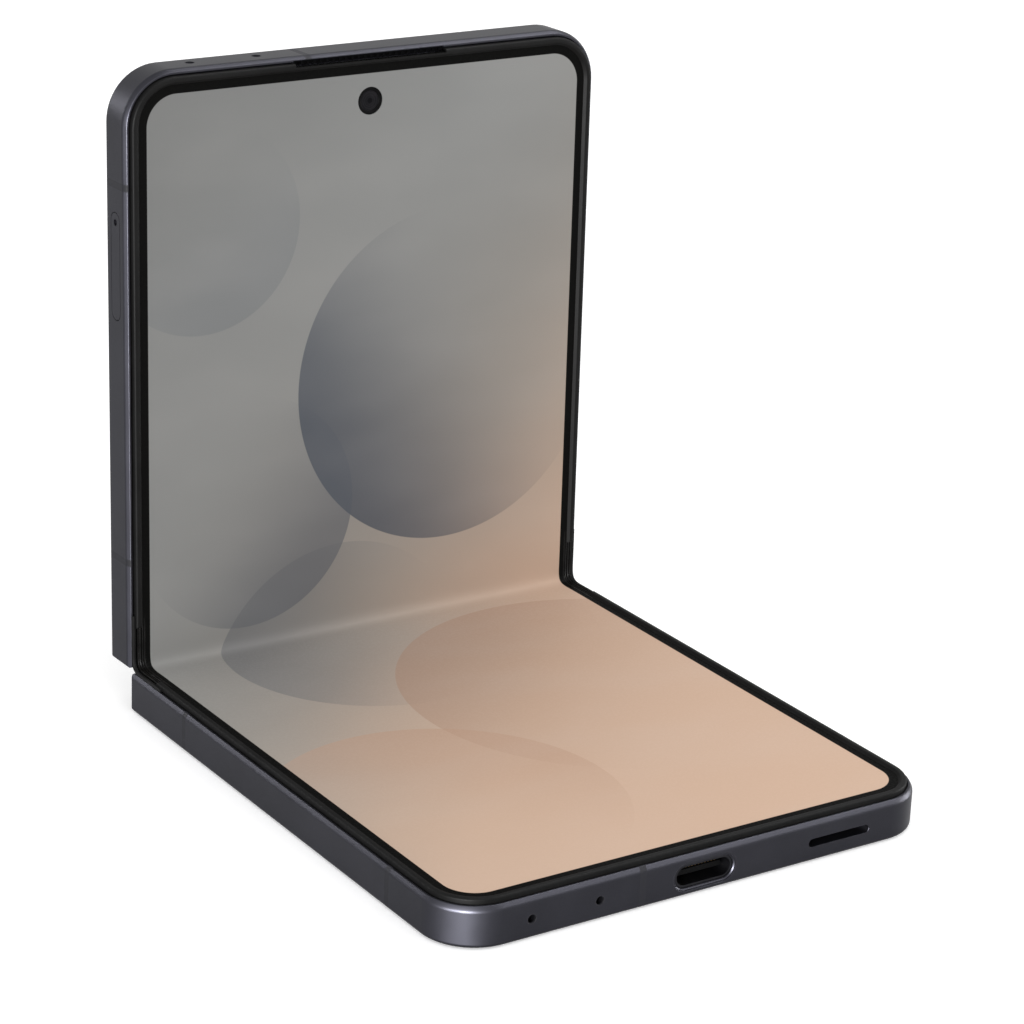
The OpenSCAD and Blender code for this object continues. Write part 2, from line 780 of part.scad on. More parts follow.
// A key cap that fills its slot, with a flange behind the frame wall that keeps it in
module key_cap(v, length, out) {
    translate([key_flange_x[1] - eps, v, key_z]) rotate([90, 0, 90])
        linear_extrude(body_w / 2 + out - key_flange_x[1] + eps) slot_outline(length, key_h);
    block(key_flange_x[0], key_flange_x[1], v - length / 2 - key_flange_more,
          v + length / 2 + key_flange_more, key_z - key_h / 2 - 0.2, key_z + key_h / 2 + 0.15);
}

module volume_key() color(metal_c) upper_space() key_cap(volume_v, volume_l, volume_out);

module side_key() color(metal_c) upper_space() key_cap(side_v, side_l, side_out);

// ---------------------------------------------------------------- hinge

// Outline of the spine: two arcs about the fold axes, cut flat below
module spine_outline(r, depth, top) intersection() {
    union() {
        for (s = [-1, 1]) translate([s * half_axis_gap, 0]) circle(r);
        translate([-half_axis_gap, -r]) square([axis_gap, r]);
    }
    translate([-7, -depth]) square([14, depth + top]);
}

module spine_cover() color(metal_c) hinge_space() difference() {
    along_x(-spine_half_x, spine_half_x) spine_outline(spine_r, spine_depth, spine_top);
    along_x(-spine_half_x - 1, spine_half_x + 1)
        spine_outline(spine_r - spine_wall, spine_depth - spine_floor, spine_top + 1);
    both_sides() for (s = [-1, 1])
        facing(s) block(arm_x0 - 0.2, arm_x1 + 0.2, 3, 7, slot_floor, 0);
}

module spine_end_caps() color(black_c) hinge_space() both_sides() difference() {
    along_x(end_cap_x, spine_half_x)
        spine_outline(spine_r - spine_wall - 0.02, spine_depth - spine_floor, spine_top);
    block(end_cap_x - 1, end_cap_x + 0.5, -cap_pocket, cap_pocket, -cap_pocket, 0);
}

module centre_plate() color(steel_c) hinge_space()
    block(-end_cap_x, end_cap_x, -centre_half_w, centre_half_w, centre_z[0], centre_z[1]);

module shaft_holes(x0, x1, r) for (y = [-shaft_y, -gear_r, gear_r, shaft_y])
    translate([x0 - 1, y, gear_z]) rotate([0, 90, 0]) cylinder(r = r, h = x1 - x0 + 2);

module housing_plate(x) difference() {
    along_x(x[0], x[1]) translate([-housing_half_w, housing_z[0]])
        square([2 * housing_half_w, housing_z[1] - housing_z[0]]);
    shaft_holes(x[0], x[1], shaft_r + seat_gap);
}

module hinge_housings() color(steel_c) hinge_space() both_sides() {
    housing_plate(plate_near_x);
    housing_plate(plate_far_x);
    housing_plate(spring_stop_x);
}

module hinge_shafts() color(steel_c) hinge_space() both_sides() {
    for (y = [-shaft_y, shaft_y]) translate([plate_near_x[0], y, gear_z]) rotate([0, 90, 0])
        cylinder(r = shaft_r, h = spring_stop_x[1] - plate_near_x[0]);
    for (y = [-gear_r, gear_r]) translate([plate_near_x[0], y, gear_z]) rotate([0, 90, 0])
        cylinder(r = shaft_r, h = plate_far_x[1] - plate_near_x[0]);
}

module detent_followers() color(steel_c) hinge_space() both_sides() difference() {
    union() {
        for (y = [-shaft_y, shaft_y]) translate([follower_x[0], y, gear_z]) rotate([0, 90, 0])
            cylinder(r = hub_r, h = follower_x[1] - follower_x[0]);
        block(follower_x[0], follower_x[1], -shaft_y, shaft_y,
              gear_z - follower_bar_h / 2, gear_z + follower_bar_h / 2);
    }
    shaft_holes(follower_x[0], follower_x[1], shaft_r + turn_gap);
}

module detent_springs() color(steel_c) hinge_space() both_sides() for (y = [-shaft_y, shaft_y])
    translate([spring_x[0], y, gear_z]) rotate([0, 90, 0]) difference() {
        cylinder(r = spring_r, h = spring_x[1] - spring_x[0]);
        translate([0, 0, -1]) cylinder(r = spring_hole_r, h = 9);
        for (i = [0:spring_turns - 1]) translate([0, 0, (i + 0.7) * spring_pitch]) difference() {
            cylinder(r = 1, h = spring_groove_w);
            translate([0, 0, -1]) cylinder(r = spring_groove_r, h = 3);
        }
    }

// Gear outline with straight flanks; the teeth are a little thin, so that meshed gears turn freely
module gear_outline(phase)
    polygon([for (i = [0:gear_teeth - 1]) for (p = [[-13, 0.2], [-9, 0], [-4.5, -0.14],
                                                    [4.5, -0.14], [9, 0], [13, 0.2]])
        let (a = phase + i * 360 / gear_teeth + p[0], r = gear_r - p[1]) [r * cos(a), r * sin(a)]]);

module gear(y, phase, x0, x1) translate([0, y, gear_z]) difference() {
    along_x(x0, x1) gear_outline(phase);
    translate([x0 - 1, 0, 0]) rotate([0, 90, 0]) cylinder(r = shaft_r + turn_gap, h = x1 - x0 + 2);
}

// Arm that reaches from a main shaft into a half: y away from the shaft, z towards the display
module arm() along_x(arm_x0, arm_x1) difference() {
    union() {
        circle(hub_r);
        translate([0, -arm_drop - arm_t / 2]) square([arm_l, arm_t]);
    }
    circle(shaft_r + turn_gap);
}

module arms(side, phase) hinge_space() both_sides() {
    gear(side * shaft_y, phase, gear_x0, arm_x0);
    translate([0, side * shaft_y, gear_z]) rotate([side * fold, 0, 0]) facing(side) arm();
}

module lower_arms() color(steel_c) arms(-1, 0);

module upper_arms() color(steel_c) arms(1, 180 / gear_teeth);

module idler_gears_lower() color(steel_c) hinge_space() both_sides()
    gear(-gear_r, 180 / gear_teeth, gear_x0, gear_x1);

module idler_gears_upper() color(steel_c) hinge_space() both_sides()
    gear(gear_r, 0, gear_x0, gear_x1);

// Plate that carries the display beside the fold; it tilts about the line where the bend starts
module wing_plate() translate([0, bend_v, axis_z]) rotate([wing_tilt, 0, 0]) difference() {
    block(-wing_x, wing_x, -wing_l, -0.1, display_floor - axis_z - wing_gap - wing_t,
          display_floor - axis_z - wing_gap);
    both_sides() block(arm_x0 - 0.5, arm_x1 + 0.5, -wing_l - 1, -wing_l + wing_notch_l, -2, 0);
}

module lower_wing_plate() color(steel_c) lower_space() wing_plate();

module upper_wing_plate() color(steel_c) upper_space() wing_plate();

// Folding stretch of the display: two straight runs that tilt with the wing plates, joined by an
// arc. The length along the middle layer is the same at every opening.
function fold_side(up) = let (off = up * display_t / 2)
    concat(
        [[run_y0 + fold_end_gap * cos(turn) + off * sin(turn),
          run_z0 - fold_end_gap * sin(turn) + off * cos(turn)]],
        [for (i = [0:fold_steps]) let (a = turn * (2 * i / fold_steps - 1))
            [(arc_r - off) * sin(a), arc_z - (arc_r - off) * cos(a)]],
        [[-run_y0 - fold_end_gap * cos(turn) - off * sin(turn),
          run_z0 - fold_end_gap * sin(turn) + off * cos(turn)]]
    );

function reversed(list) = [for (i = [len(list) - 1:-1:0]) list[i]];

module display_fold() color(fold_image_c) hinge_space()
    along_x(-body_w / 2 + display_in, body_w / 2 - display_in)
        polygon(concat(fold_side(1), reversed(fold_side(-1))));

lower_frame();
lower_antenna_bands();
lower_back_cover();
lower_rim();
display_lower();
lower_display_plate();
lower_battery();
charge_board();
usb_shell();
usb_tongue();
speaker();
speaker_mesh();
bottom_microphones();
vibration_motor();
charging_coil();
lower_screws();
lower_hinge_brackets();
upper_frame();
upper_antenna_bands();
upper_back_cover();
upper_rim();
display_upper();
upper_display_plate();
upper_battery();
main_board();
board_shields();
cover_display();
camera_rings();
camera_lenses();
camera_modules();
flash_lens();
front_camera();
earpiece();
earpiece_mesh();
top_microphones();
card_reader();
key_switches();
upper_screws();
upper_hinge_brackets();
card_tray();
eject_rod();
eject_lever();
volume_key();
side_key();
spine_cover();
spine_end_caps();
centre_plate();
hinge_housings();
hinge_shafts();
detent_followers();
detent_springs();
display_fold();
lower_arms();
upper_arms();
idler_gears_lower();
idler_gears_upper();
lower_wing_plate();
upper_wing_plate();
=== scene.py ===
import json
import math

import bpy
import bmesh
from mathutils import Matrix, Vector

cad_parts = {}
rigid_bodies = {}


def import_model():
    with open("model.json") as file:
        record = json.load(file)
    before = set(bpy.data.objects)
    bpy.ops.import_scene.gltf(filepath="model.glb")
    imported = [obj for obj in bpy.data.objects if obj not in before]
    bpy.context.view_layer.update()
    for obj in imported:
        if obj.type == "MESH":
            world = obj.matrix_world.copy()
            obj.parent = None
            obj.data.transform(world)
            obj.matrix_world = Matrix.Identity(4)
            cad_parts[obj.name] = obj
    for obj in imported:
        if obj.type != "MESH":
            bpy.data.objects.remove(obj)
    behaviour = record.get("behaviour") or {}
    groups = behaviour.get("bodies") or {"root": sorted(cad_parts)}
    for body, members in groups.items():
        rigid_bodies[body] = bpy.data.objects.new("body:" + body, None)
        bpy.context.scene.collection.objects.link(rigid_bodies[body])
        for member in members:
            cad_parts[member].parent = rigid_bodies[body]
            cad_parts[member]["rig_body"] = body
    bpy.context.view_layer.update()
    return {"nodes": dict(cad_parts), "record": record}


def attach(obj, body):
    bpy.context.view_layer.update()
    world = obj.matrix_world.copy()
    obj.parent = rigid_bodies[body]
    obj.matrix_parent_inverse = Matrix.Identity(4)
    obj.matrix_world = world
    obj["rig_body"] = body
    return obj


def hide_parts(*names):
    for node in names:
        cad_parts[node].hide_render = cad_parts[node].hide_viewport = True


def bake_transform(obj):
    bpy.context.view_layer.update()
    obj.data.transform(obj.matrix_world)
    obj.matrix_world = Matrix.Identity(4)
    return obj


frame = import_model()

# Foldable smartphone, held open at about a right angle.
# Shapes are drawn in millimetres in the same three spaces as the part's source, and placed in metres:
# a half space has x across, y from the hinge edge to the far end and z from the back to the display;
# the hinge space has its origin midway between the two fold axes.

MM = 0.001

# ---------------------------------------------------------------- dimensions, as in the part's source

BODY_W = 75.2
HALF_L = 84.0
OPENING = 91.0
AXIS_GAP = 1.8
END_OVER = 0.8
BEND_START = 7.0
AXIS_Z = 5.75
DISPLAY_T = 0.7
DISPLAY_IN = 1.05
PORT_Z = 2.75
KEY_Z = 2.9
MICROPHONE_X = [-26.2, -16.1]
SPEAKER_X = 21.55
CAMERA_X = (11.6, 27.0)
CAMERA_V = 72.0
FRONT_CAMERA_V = 76.95
FLASH = (19.3, 61.6)

FOLD = math.radians((180 - OPENING) / 2)
HALF_GAP = AXIS_GAP / 2
LOWER_AXIS_Y = HALF_L / 2 - END_OVER

SCALE = Matrix.Scale(MM, 4)
LOWER = Matrix.Translation((0, HALF_L / 2 * MM, 0)) @ Matrix.Scale(-1, 4, (0, 1, 0)) @ SCALE
HINGE_ROOM = (Matrix.Translation((0, LOWER_AXIS_Y * MM, AXIS_Z * MM)) @ Matrix.Rotation(FOLD, 4, "X")
              @ Matrix.Translation((0, HALF_GAP * MM, 0)))
HINGE = HINGE_ROOM @ SCALE
UPPER = (HINGE_ROOM @ Matrix.Translation((0, HALF_GAP * MM, 0)) @ Matrix.Rotation(FOLD, 4, "X")
         @ Matrix.Translation((0, -END_OVER * MM, -AXIS_Z * MM)) @ SCALE)


# ---------------------------------------------------------------- node helpers

def srgb(r, g, b):
    """A colour written as 0 to 255 in sRGB, as a linear RGBA."""
    def lin(v):
        v /= 255
        return v / 12.92 if v <= 0.04045 else ((v + 0.055) / 1.055) ** 2.4
    return (lin(r), lin(g), lin(b), 1.0)


class Tree:
    """A material's node tree, with short calls for the nodes used here."""

    def __init__(self, name):
        self.material = bpy.data.materials.new(name)
        self.material.use_nodes = True
        self.tree = self.material.node_tree
        self.bsdf = self.tree.nodes["Principled BSDF"]
        self.out = self.tree.nodes["Material Output"]

    def put(self, node, inputs):
        for key, value in inputs.items():
            socket = node.inputs[key]
            if isinstance(value, bpy.types.NodeSocket):
                self.tree.links.new(value, socket)
            else:
                socket.default_value = value

    def add(self, kind, inputs=None, **props):
        node = self.tree.nodes.new(kind)
        for key, value in props.items():
            setattr(node, key, value)
        self.put(node, inputs or {})
        return node

    def maths(self, op, a, b=0.0, c=0.0, clamp=False):
        node = self.add("ShaderNodeMath", {0: a, 1: b, 2: c}, operation=op, use_clamp=clamp)
        return node.outputs[0]

    def vector(self, op, a, b=(0, 0, 0), out=0):
        node = self.add("ShaderNodeVectorMath", {0: a, 1: b}, operation=op)
        return node.outputs[out]

    def split(self, v):
        return self.add("ShaderNodeSeparateXYZ", {0: v}).outputs

    def join(self, x, y, z=0.0):
        return self.add("ShaderNodeCombineXYZ", {0: x, 1: y, 2: z}).outputs[0]

    def mix(self, factor, a, b, blend="MIX"):
        node = self.add("ShaderNodeMix", data_type="RGBA", blend_type=blend)
        self.put(node, {0: factor, 6: a, 7: b})
        return node.outputs[2]

    def remap(self, value, a0, a1, b0=0.0, b1=1.0, kind="SMOOTHSTEP"):
        node = self.add("ShaderNodeMapRange", {0: value, 1: a0, 2: a1, 3: b0, 4: b1})
        node.interpolation_type = kind
        return node.outputs[0]

    def noise(self, vector, scale, detail=2.0, rough=0.5, distortion=0.0):
        return self.add("ShaderNodeTexNoise", {"Vector": vector, "Scale": scale, "Detail": detail,
                                               "Roughness": rough, "Distortion": distortion}).outputs[0]

    def place(self):
        """Place in the row frame, in millimetres."""
        return self.scaled(self.add("ShaderNodeTexCoord").outputs["Object"], 1000)

    def scaled(self, v, s):
        node = self.add("ShaderNodeVectorMath", {0: v, 3: s}, operation="SCALE")
        return node.outputs[0]

    def rounded(self, p, centre, half, radius, edge=0.04):
        """One inside a box with round corners, nothing outside."""
        room = (half[0] - radius, half[1] - radius, 0)
        off = self.vector("ABSOLUTE", self.vector("SUBTRACT", p, (centre[0], centre[1], 0)))
        corner = self.vector("MAXIMUM", self.vector("SUBTRACT", off, room), (0, 0, 0))
        return self.remap(self.vector("LENGTH", corner, out=1), radius + edge, radius - edge)

    def along_upper(self, place):
        """Distance from the hinge edge of the upper half, in mm."""
        axis = UPPER.to_3x3() @ Vector((0, 1000, 0))
        along = self.vector("DOT_PRODUCT", place, tuple(axis), out=1)
        return self.maths("SUBTRACT", along, (UPPER.translation * 1000).dot(axis))

    def bump(self, height, strength, distance):
        return self.add("ShaderNodeBump", {"Height": height, "Strength": strength,
                                           "Distance": distance}).outputs[0]

    def finish(self, **inputs):
        names = {"colour": "Base Color", "metallic": "Metallic", "roughness": "Roughness",
                 "normal": "Normal", "ior": "IOR", "coat": "Coat Weight",
                 "coat_roughness": "Coat Roughness", "edge_tint": "Specular Tint"}
        self.put(self.bsdf, {names[k]: v for k, v in inputs.items()})
        return self.material


def varied(name, colour, metallic, roughness, patch=0.06, patch_mm=6.0, grain=0.03, grain_mm=0.12,
           bump=0.12, bump_mm=0.01, **more):
    """A finish with broad patches of slightly different tone, a fine grain in its gloss and its height."""
    t = Tree(name)
    p = t.place()
    broad = t.noise(p, 1 / patch_mm, 3.0, 0.55)
    fine = t.noise(p, 1 / grain_mm, 2.0, 0.6)
    light = tuple(c * (1 + 2 * patch) for c in colour[:3]) + (1.0,)
    dark = tuple(c * (1 - 2 * patch) for c in colour[:3]) + (1.0,)
    tone = t.mix(t.remap(broad, 0.3, 0.7), dark, light)
    darker = t.mix(1.0, tone, (1 - grain * 3,) * 3 + (1,), "MULTIPLY")
    tone = t.mix(t.remap(fine, 0.3, 0.7, 0.0, 1.0), tone, darker)
    rough = t.maths("ADD", t.remap(broad, 0.2, 0.8, roughness - grain, roughness + grain, "LINEAR"),
                    t.remap(fine, 0.2, 0.8, -grain, grain, "LINEAR"), clamp=True)
    return t.finish(colour=tone, metallic=metallic, roughness=rough,
                    normal=t.bump(fine, bump, bump_mm * MM), **more)


# ---------------------------------------------------------------- materials

def anodised_metal():
    return varied("anodised_metal", srgb(47, 47, 52), 1.0, 0.42, patch=0.03, patch_mm=9, grain=0.02,
                  grain_mm=0.16, bump=0.2, bump_mm=0.005, edge_tint=(0.83, 0.83, 0.83, 1))


def antenna_plastic():
    return varied("antenna_plastic", srgb(40, 40, 46), 0.0, 0.5, patch=0.03, patch_mm=4, grain=0.02,
                  grain_mm=0.1, bump=0.15, bump_mm=0.006, ior=1.2)


def rim_plastic():
    return varied("rim_plastic", srgb(30, 30, 30), 0.0, 0.5, patch=0.05, patch_mm=5, grain=0.05,
                  grain_mm=0.14, bump=0.3, bump_mm=0.012, ior=1.11)


MATERIALS = {}


def get(name, maker):
    if name not in MATERIALS:
        MATERIALS[name] = maker()
    return MATERIALS[name]


MATTE_METALLIC = 0.25
MATTE_BUMP = 0.12
MATTE_BUMP_MM = 0.004


def matte_glass(t, p):
    """Broad and fine noise, colour and roughness of the matte back glass, with its fine flakes."""
    broad = t.noise(p, 1 / 14, 2.0)
    fine = t.noise(p, 1 / 0.09, 2.0, 0.6)
    colour = t.mix(t.remap(broad, 0.3, 0.7), srgb(52, 52, 59), srgb(58, 58, 66))
    colour = t.mix(t.maths("MULTIPLY", t.remap(fine, 0.62, 0.78), 0.35), colour, srgb(98, 98, 108))
    return broad, fine, colour, t.remap(broad, 0.3, 0.7, 0.30, 0.36)


def back_glass():
    t = Tree("back_glass")
    _, fine, colour, rough = matte_glass(t, t.place())
    return t.finish(colour=colour, metallic=MATTE_METALLIC, roughness=rough,
                    normal=t.bump(fine, MATTE_BUMP, MATTE_BUMP_MM * MM))


# Window of the second display as boxes of (centre, half size), in mm across and along the upper half
WINDOW_R = 4.5
WINDOW_WIDE = ((0, 31.8), (33.0, 25.2))
WINDOW_NARROW = ((-14.9, 42.3), (18.1, 35.7))
WINDOW_NOTCH = ((43.2, 97.0), (40.0, 40.0))
WINDOW_FILLET = ((-1.15, 55.75), (8.85, 5.75))


def cover_glass():
    """Back glass of the upper half: matte, with a polished black window for the second display."""
    t = Tree("cover_glass")
    p = t.place()
    broad, fine, colour, matte_rough = matte_glass(t, p)
    flat = t.join(t.split(p)[0], t.along_upper(p))
    # Full-width part, narrow part beside the cameras, and the fillet where they meet
    wide = t.rounded(flat, *WINDOW_WIDE, WINDOW_R)
    narrow = t.rounded(flat, *WINDOW_NARROW, WINDOW_R)
    notch = t.rounded(flat, *WINDOW_NOTCH, WINDOW_R)
    fillet = t.rounded(flat, *WINDOW_FILLET, 0.1)
    fillet = t.maths("MULTIPLY", fillet, t.maths("SUBTRACT", 1.0, notch))
    window = t.maths("MAXIMUM", t.maths("MAXIMUM", wide, narrow), fillet)
    matte = t.maths("SUBTRACT", 1.0, window)
    colour = t.mix(window, colour, t.mix(broad, srgb(13, 13, 15), srgb(19, 19, 22)))
    rough = t.maths("ADD", t.maths("MULTIPLY", matte_rough, matte),
                    t.maths("MULTIPLY", t.remap(broad, 0.3, 0.7, 0.07, 0.12), window))
    return t.finish(colour=colour, metallic=t.maths("MULTIPLY", matte, MATTE_METALLIC), roughness=rough,
                    ior=1.33, normal=t.bump(t.maths("MULTIPLY", fine, matte), MATTE_BUMP,
                                            MATTE_BUMP_MM * MM))


def black_plastic():
    return varied("black_plastic", srgb(20, 20, 21), 0.0, 0.42, patch=0.08, patch_mm=2, grain=0.05,
                  grain_mm=0.1, bump=0.3, bump_mm=0.01, ior=1.3)


def steel():
    t = Tree("steel")
    p = t.place()
    lines = t.noise(t.vector("MULTIPLY", p, (0.3, 9.0, 9.0)), 1.0, 3.0, 0.6)
    broad = t.noise(p, 0.3, 2.0)
    colour = t.mix(lines, srgb(150, 151, 154), srgb(186, 187, 190))
    colour = t.mix(t.maths("MULTIPLY", broad, 0.25), colour, srgb(120, 118, 114))
    return t.finish(colour=colour, metallic=1.0, roughness=t.remap(lines, 0.2, 0.8, 0.26, 0.4),
                    normal=t.bump(lines, 0.25, 0.01 * MM))


def battery_wrap():
    t = Tree("battery_wrap")
    p = t.place()
    folds = t.noise(t.vector("MULTIPLY", p, (0.12, 0.5, 0.5)), 1.0, 4.0, 0.6, 0.6)
    fine = t.noise(p, 8, 2.0)
    colour = t.mix(t.remap(folds, 0.35, 0.7), srgb(38, 39, 42), srgb(56, 57, 61))
    return t.finish(colour=colour, roughness=t.remap(fine, 0.2, 0.8, 0.38, 0.55),
                    normal=t.bump(folds, 0.5, 0.15 * MM))


def circuit_board():
    t = Tree("circuit_board")
    p = t.place()
    cells = t.add("ShaderNodeTexBrick", {"Vector": p, "Color1": (0, 0, 0, 1), "Color2": (1, 1, 1, 1),
                                         "Mortar": (0.4, 0.4, 0.4, 1), "Scale": 0.7,
                                         "Mortar Size": 0.03, "Brick Width": 1.3, "Row Height": 0.8})
    parts = t.remap(t.noise(p, 0.9, 1.0), 0.5, 0.56)
    colour = t.mix(cells.outputs["Fac"], srgb(18, 62, 44), srgb(160, 132, 74))
    colour = t.mix(t.maths("MULTIPLY", parts, 0.8), colour, srgb(26, 26, 28))
    return t.finish(colour=colour, roughness=t.remap(parts, 0, 1, 0.35, 0.6),
                    normal=t.bump(parts, 0.6, 0.1 * MM))


def copper():
    t = Tree("copper")
    p = t.place()
    rings = t.add("ShaderNodeTexWave", {"Vector": t.vector("SUBTRACT", p, (0, 4, 0)), "Scale": 0.6,
                                        "Distortion": 0.0, "Detail": 0.0},
                  wave_type="RINGS", rings_direction="Z").outputs[1]
    fine = t.noise(p, 6, 2.0)
    colour = t.mix(rings, srgb(150, 88, 48), srgb(206, 132, 78))
    return t.finish(colour=colour, metallic=1.0, roughness=t.remap(fine, 0.2, 0.8, 0.28, 0.42),
                    normal=t.bump(rings, 0.4, 0.05 * MM))


def lens_glass():
    t = Tree("lens_glass")
    p = t.place()
    broad = t.noise(p, 0.25, 2.0)
    colour = t.mix(t.remap(broad, 0.3, 0.7), srgb(8, 9, 13), srgb(16, 15, 24))
    return t.finish(colour=colour, roughness=t.remap(broad, 0.3, 0.7, 0.04, 0.09), coat=0.6,
                    coat_roughness=0.03, ior=1.6)


def flash_plastic():
    t = Tree("flash_plastic")
    p = t.place()
    broad = t.noise(p, 1.2, 2.0)
    fine = t.noise(p, 7, 2.0)
    colour = t.mix(t.remap(broad, 0.3, 0.7), srgb(236, 226, 186), srgb(246, 240, 216))
    return t.finish(colour=colour, roughness=t.remap(fine, 0.2, 0.8, 0.2, 0.32), coat=0.5,
                    normal=t.bump(fine, 0.2, 0.02 * MM))


def gold():
    return varied("gold_contacts", srgb(214, 170, 96), 1.0, 0.3, patch=0.05, patch_mm=0.8, grain=0.04,
                  grain_mm=0.05, bump=0.15, bump_mm=0.004)


def film_edge():
    return varied("film_edge", srgb(17, 16, 15), 0.0, 0.42, patch=0.3, patch_mm=1.5, grain=0.05,
                  grain_mm=0.1, bump=0.3, bump_mm=0.01, ior=1.14)


def hole_edge():
    return varied("hole_edge", srgb(52, 52, 57), 0.0, 0.55, patch=0.05, patch_mm=1, grain=0.04,
                  grain_mm=0.06, bump=0.2, bump_mm=0.004, ior=1.15)


def shroud_plastic():
    return varied("shroud_plastic", srgb(11, 11, 12), 0.0, 0.5, patch=0.1, patch_mm=1, grain=0.05,
                  grain_mm=0.06, bump=0.2, bump_mm=0.004, ior=1.1)


def port_plastic():
    return varied("port_plastic", srgb(13, 13, 14), 0.0, 0.6, patch=0.1, patch_mm=1, grain=0.05,
                  grain_mm=0.08, bump=0.2, bump_mm=0.004, ior=1.12)


def dark_lens():
    """Front camera glass, with faint lighter rings round its middle as painted reflections, and a darker
    middle as painted shade.
    """
    t = Tree("dark_lens")
    p = t.place()
    broad = t.noise(p, 0.8, 2.0)
    flat = t.join(t.split(p)[0], t.along_upper(p))
    reach = t.vector("LENGTH", t.vector("SUBTRACT", flat, (0, FRONT_CAMERA_V, 0)), out=1)
    # Lighter rings from about 0.35 to 0.75 mm out: painted reflections of the lens's inner rings.
    rings = t.maths("PINGPONG", reach, 0.16)
    ring = t.maths("MULTIPLY", t.remap(rings, 0.1, 0.16), t.remap(reach, 0.35, 0.75))
    colour = t.mix(t.remap(broad, 0.3, 0.7), srgb(24, 24, 27), srgb(31, 30, 33))
    colour = t.mix(t.maths("MULTIPLY", ring, 0.6), colour, srgb(44, 43, 45))
    # Darker middle: painted shade of the lens's opening.
    colour = t.mix(t.remap(reach, 0.42, 0.34), colour, srgb(12, 12, 15))
    return t.finish(colour=colour, roughness=t.remap(broad, 0.3, 0.7, 0.1, 0.16), ior=1.14)


def coated_lens():
    t = Tree("coated_lens")
    p = t.place()
    broad = t.noise(p, 0.5, 2.0)
    # Colour set by viewing angle: darker face-on, with a painted blue-violet sheen of the coating towards
    # grazing angles.
    painted_sheen_by_view = t.add("ShaderNodeLayerWeight", {"Blend": 0.35}).outputs["Facing"]
    colour = t.mix(t.remap(broad, 0.3, 0.7), srgb(10, 12, 30), srgb(22, 14, 40))
    colour = t.mix(painted_sheen_by_view, srgb(6, 7, 12), colour)
    return t.finish(colour=colour, roughness=t.remap(broad, 0.3, 0.7, 0.04, 0.09), ior=1.32)


# Dark steel for the socket shell and the microphones: its darkness is painted shade of the ports' insides.
def port_steel_painted_shade():
    return varied("port_steel_painted_shade", srgb(40, 40, 43), 1.0, 0.38, patch=0.06, patch_mm=2, grain=0.04,
                  grain_mm=0.08, bump=0.2, bump_mm=0.006)


def fine_mesh():
    t = Tree("fine_mesh")
    p = t.place()
    weave = t.add("ShaderNodeTexVoronoi", {"Vector": p, "Scale": 4.5, "Randomness": 0.0}).outputs[0]
    hole_and_painted_shade = t.remap(weave, 0.28, 0.42)
    # Holes painted darker than the strands: painted shade of the hollow behind the mesh.
    colour = t.mix(hole_and_painted_shade, srgb(5, 5, 6), srgb(15, 15, 17))
    return t.finish(colour=colour, metallic=0.0, roughness=t.remap(hole_and_painted_shade, 0, 1, 0.9, 0.7), ior=1.06,
                    normal=t.bump(hole_and_painted_shade, 0.4, 0.05 * MM))


# Display picture: its outline, and soft overlapping discs on a field from grey to peach.
# Unrolled coordinates: x across, s along the display from the middle of the fold, both in mm.
IMAGE_HALF_W = BODY_W / 2 - 3.14
IMAGE_HALF_L = HALF_L + 0.1 - 3.18
IMAGE_R = 4.4
# One UV unit of the folding strip, in mm
UV_MM = 100

# Field colours as (q, colour), where q = s - FIELD_SLOPE x, on a ramp from FIELD_FROM to FIELD_TO
FIELD_SLOPE = 1.1
FIELD_FROM, FIELD_TO = -130.0, 130.0
FIELD = [(-110, srgb(209, 179, 157)), (-45, srgb(203, 173, 151)), (-18, srgb(182, 163, 148)),
         (6, srgb(154, 148, 141)), (32, srgb(141, 141, 139)), (60, srgb(146, 147, 146)),
         (112, srgb(126, 127, 126))]
# Discs as (x, s, radius, direction of the dark side in degrees, colour, strength)
DISCS = [(14.0, 36.0, 25.0, 215, srgb(78, 84, 94), 0.85),
         (-19.0, 20.0, 17.0, 320, srgb(86, 92, 101), 0.62),
         (-4.0, -8.0, 21.0, 160, srgb(104, 106, 110), 0.55),
         (20.0, -34.0, 30.0, 130, srgb(170, 138, 118), 0.55),
         (-22.0, -58.0, 24.0, 60, srgb(184, 150, 128), 0.5),
         (-26.0, 62.0, 15.0, 300, srgb(116, 120, 124), 0.45)]


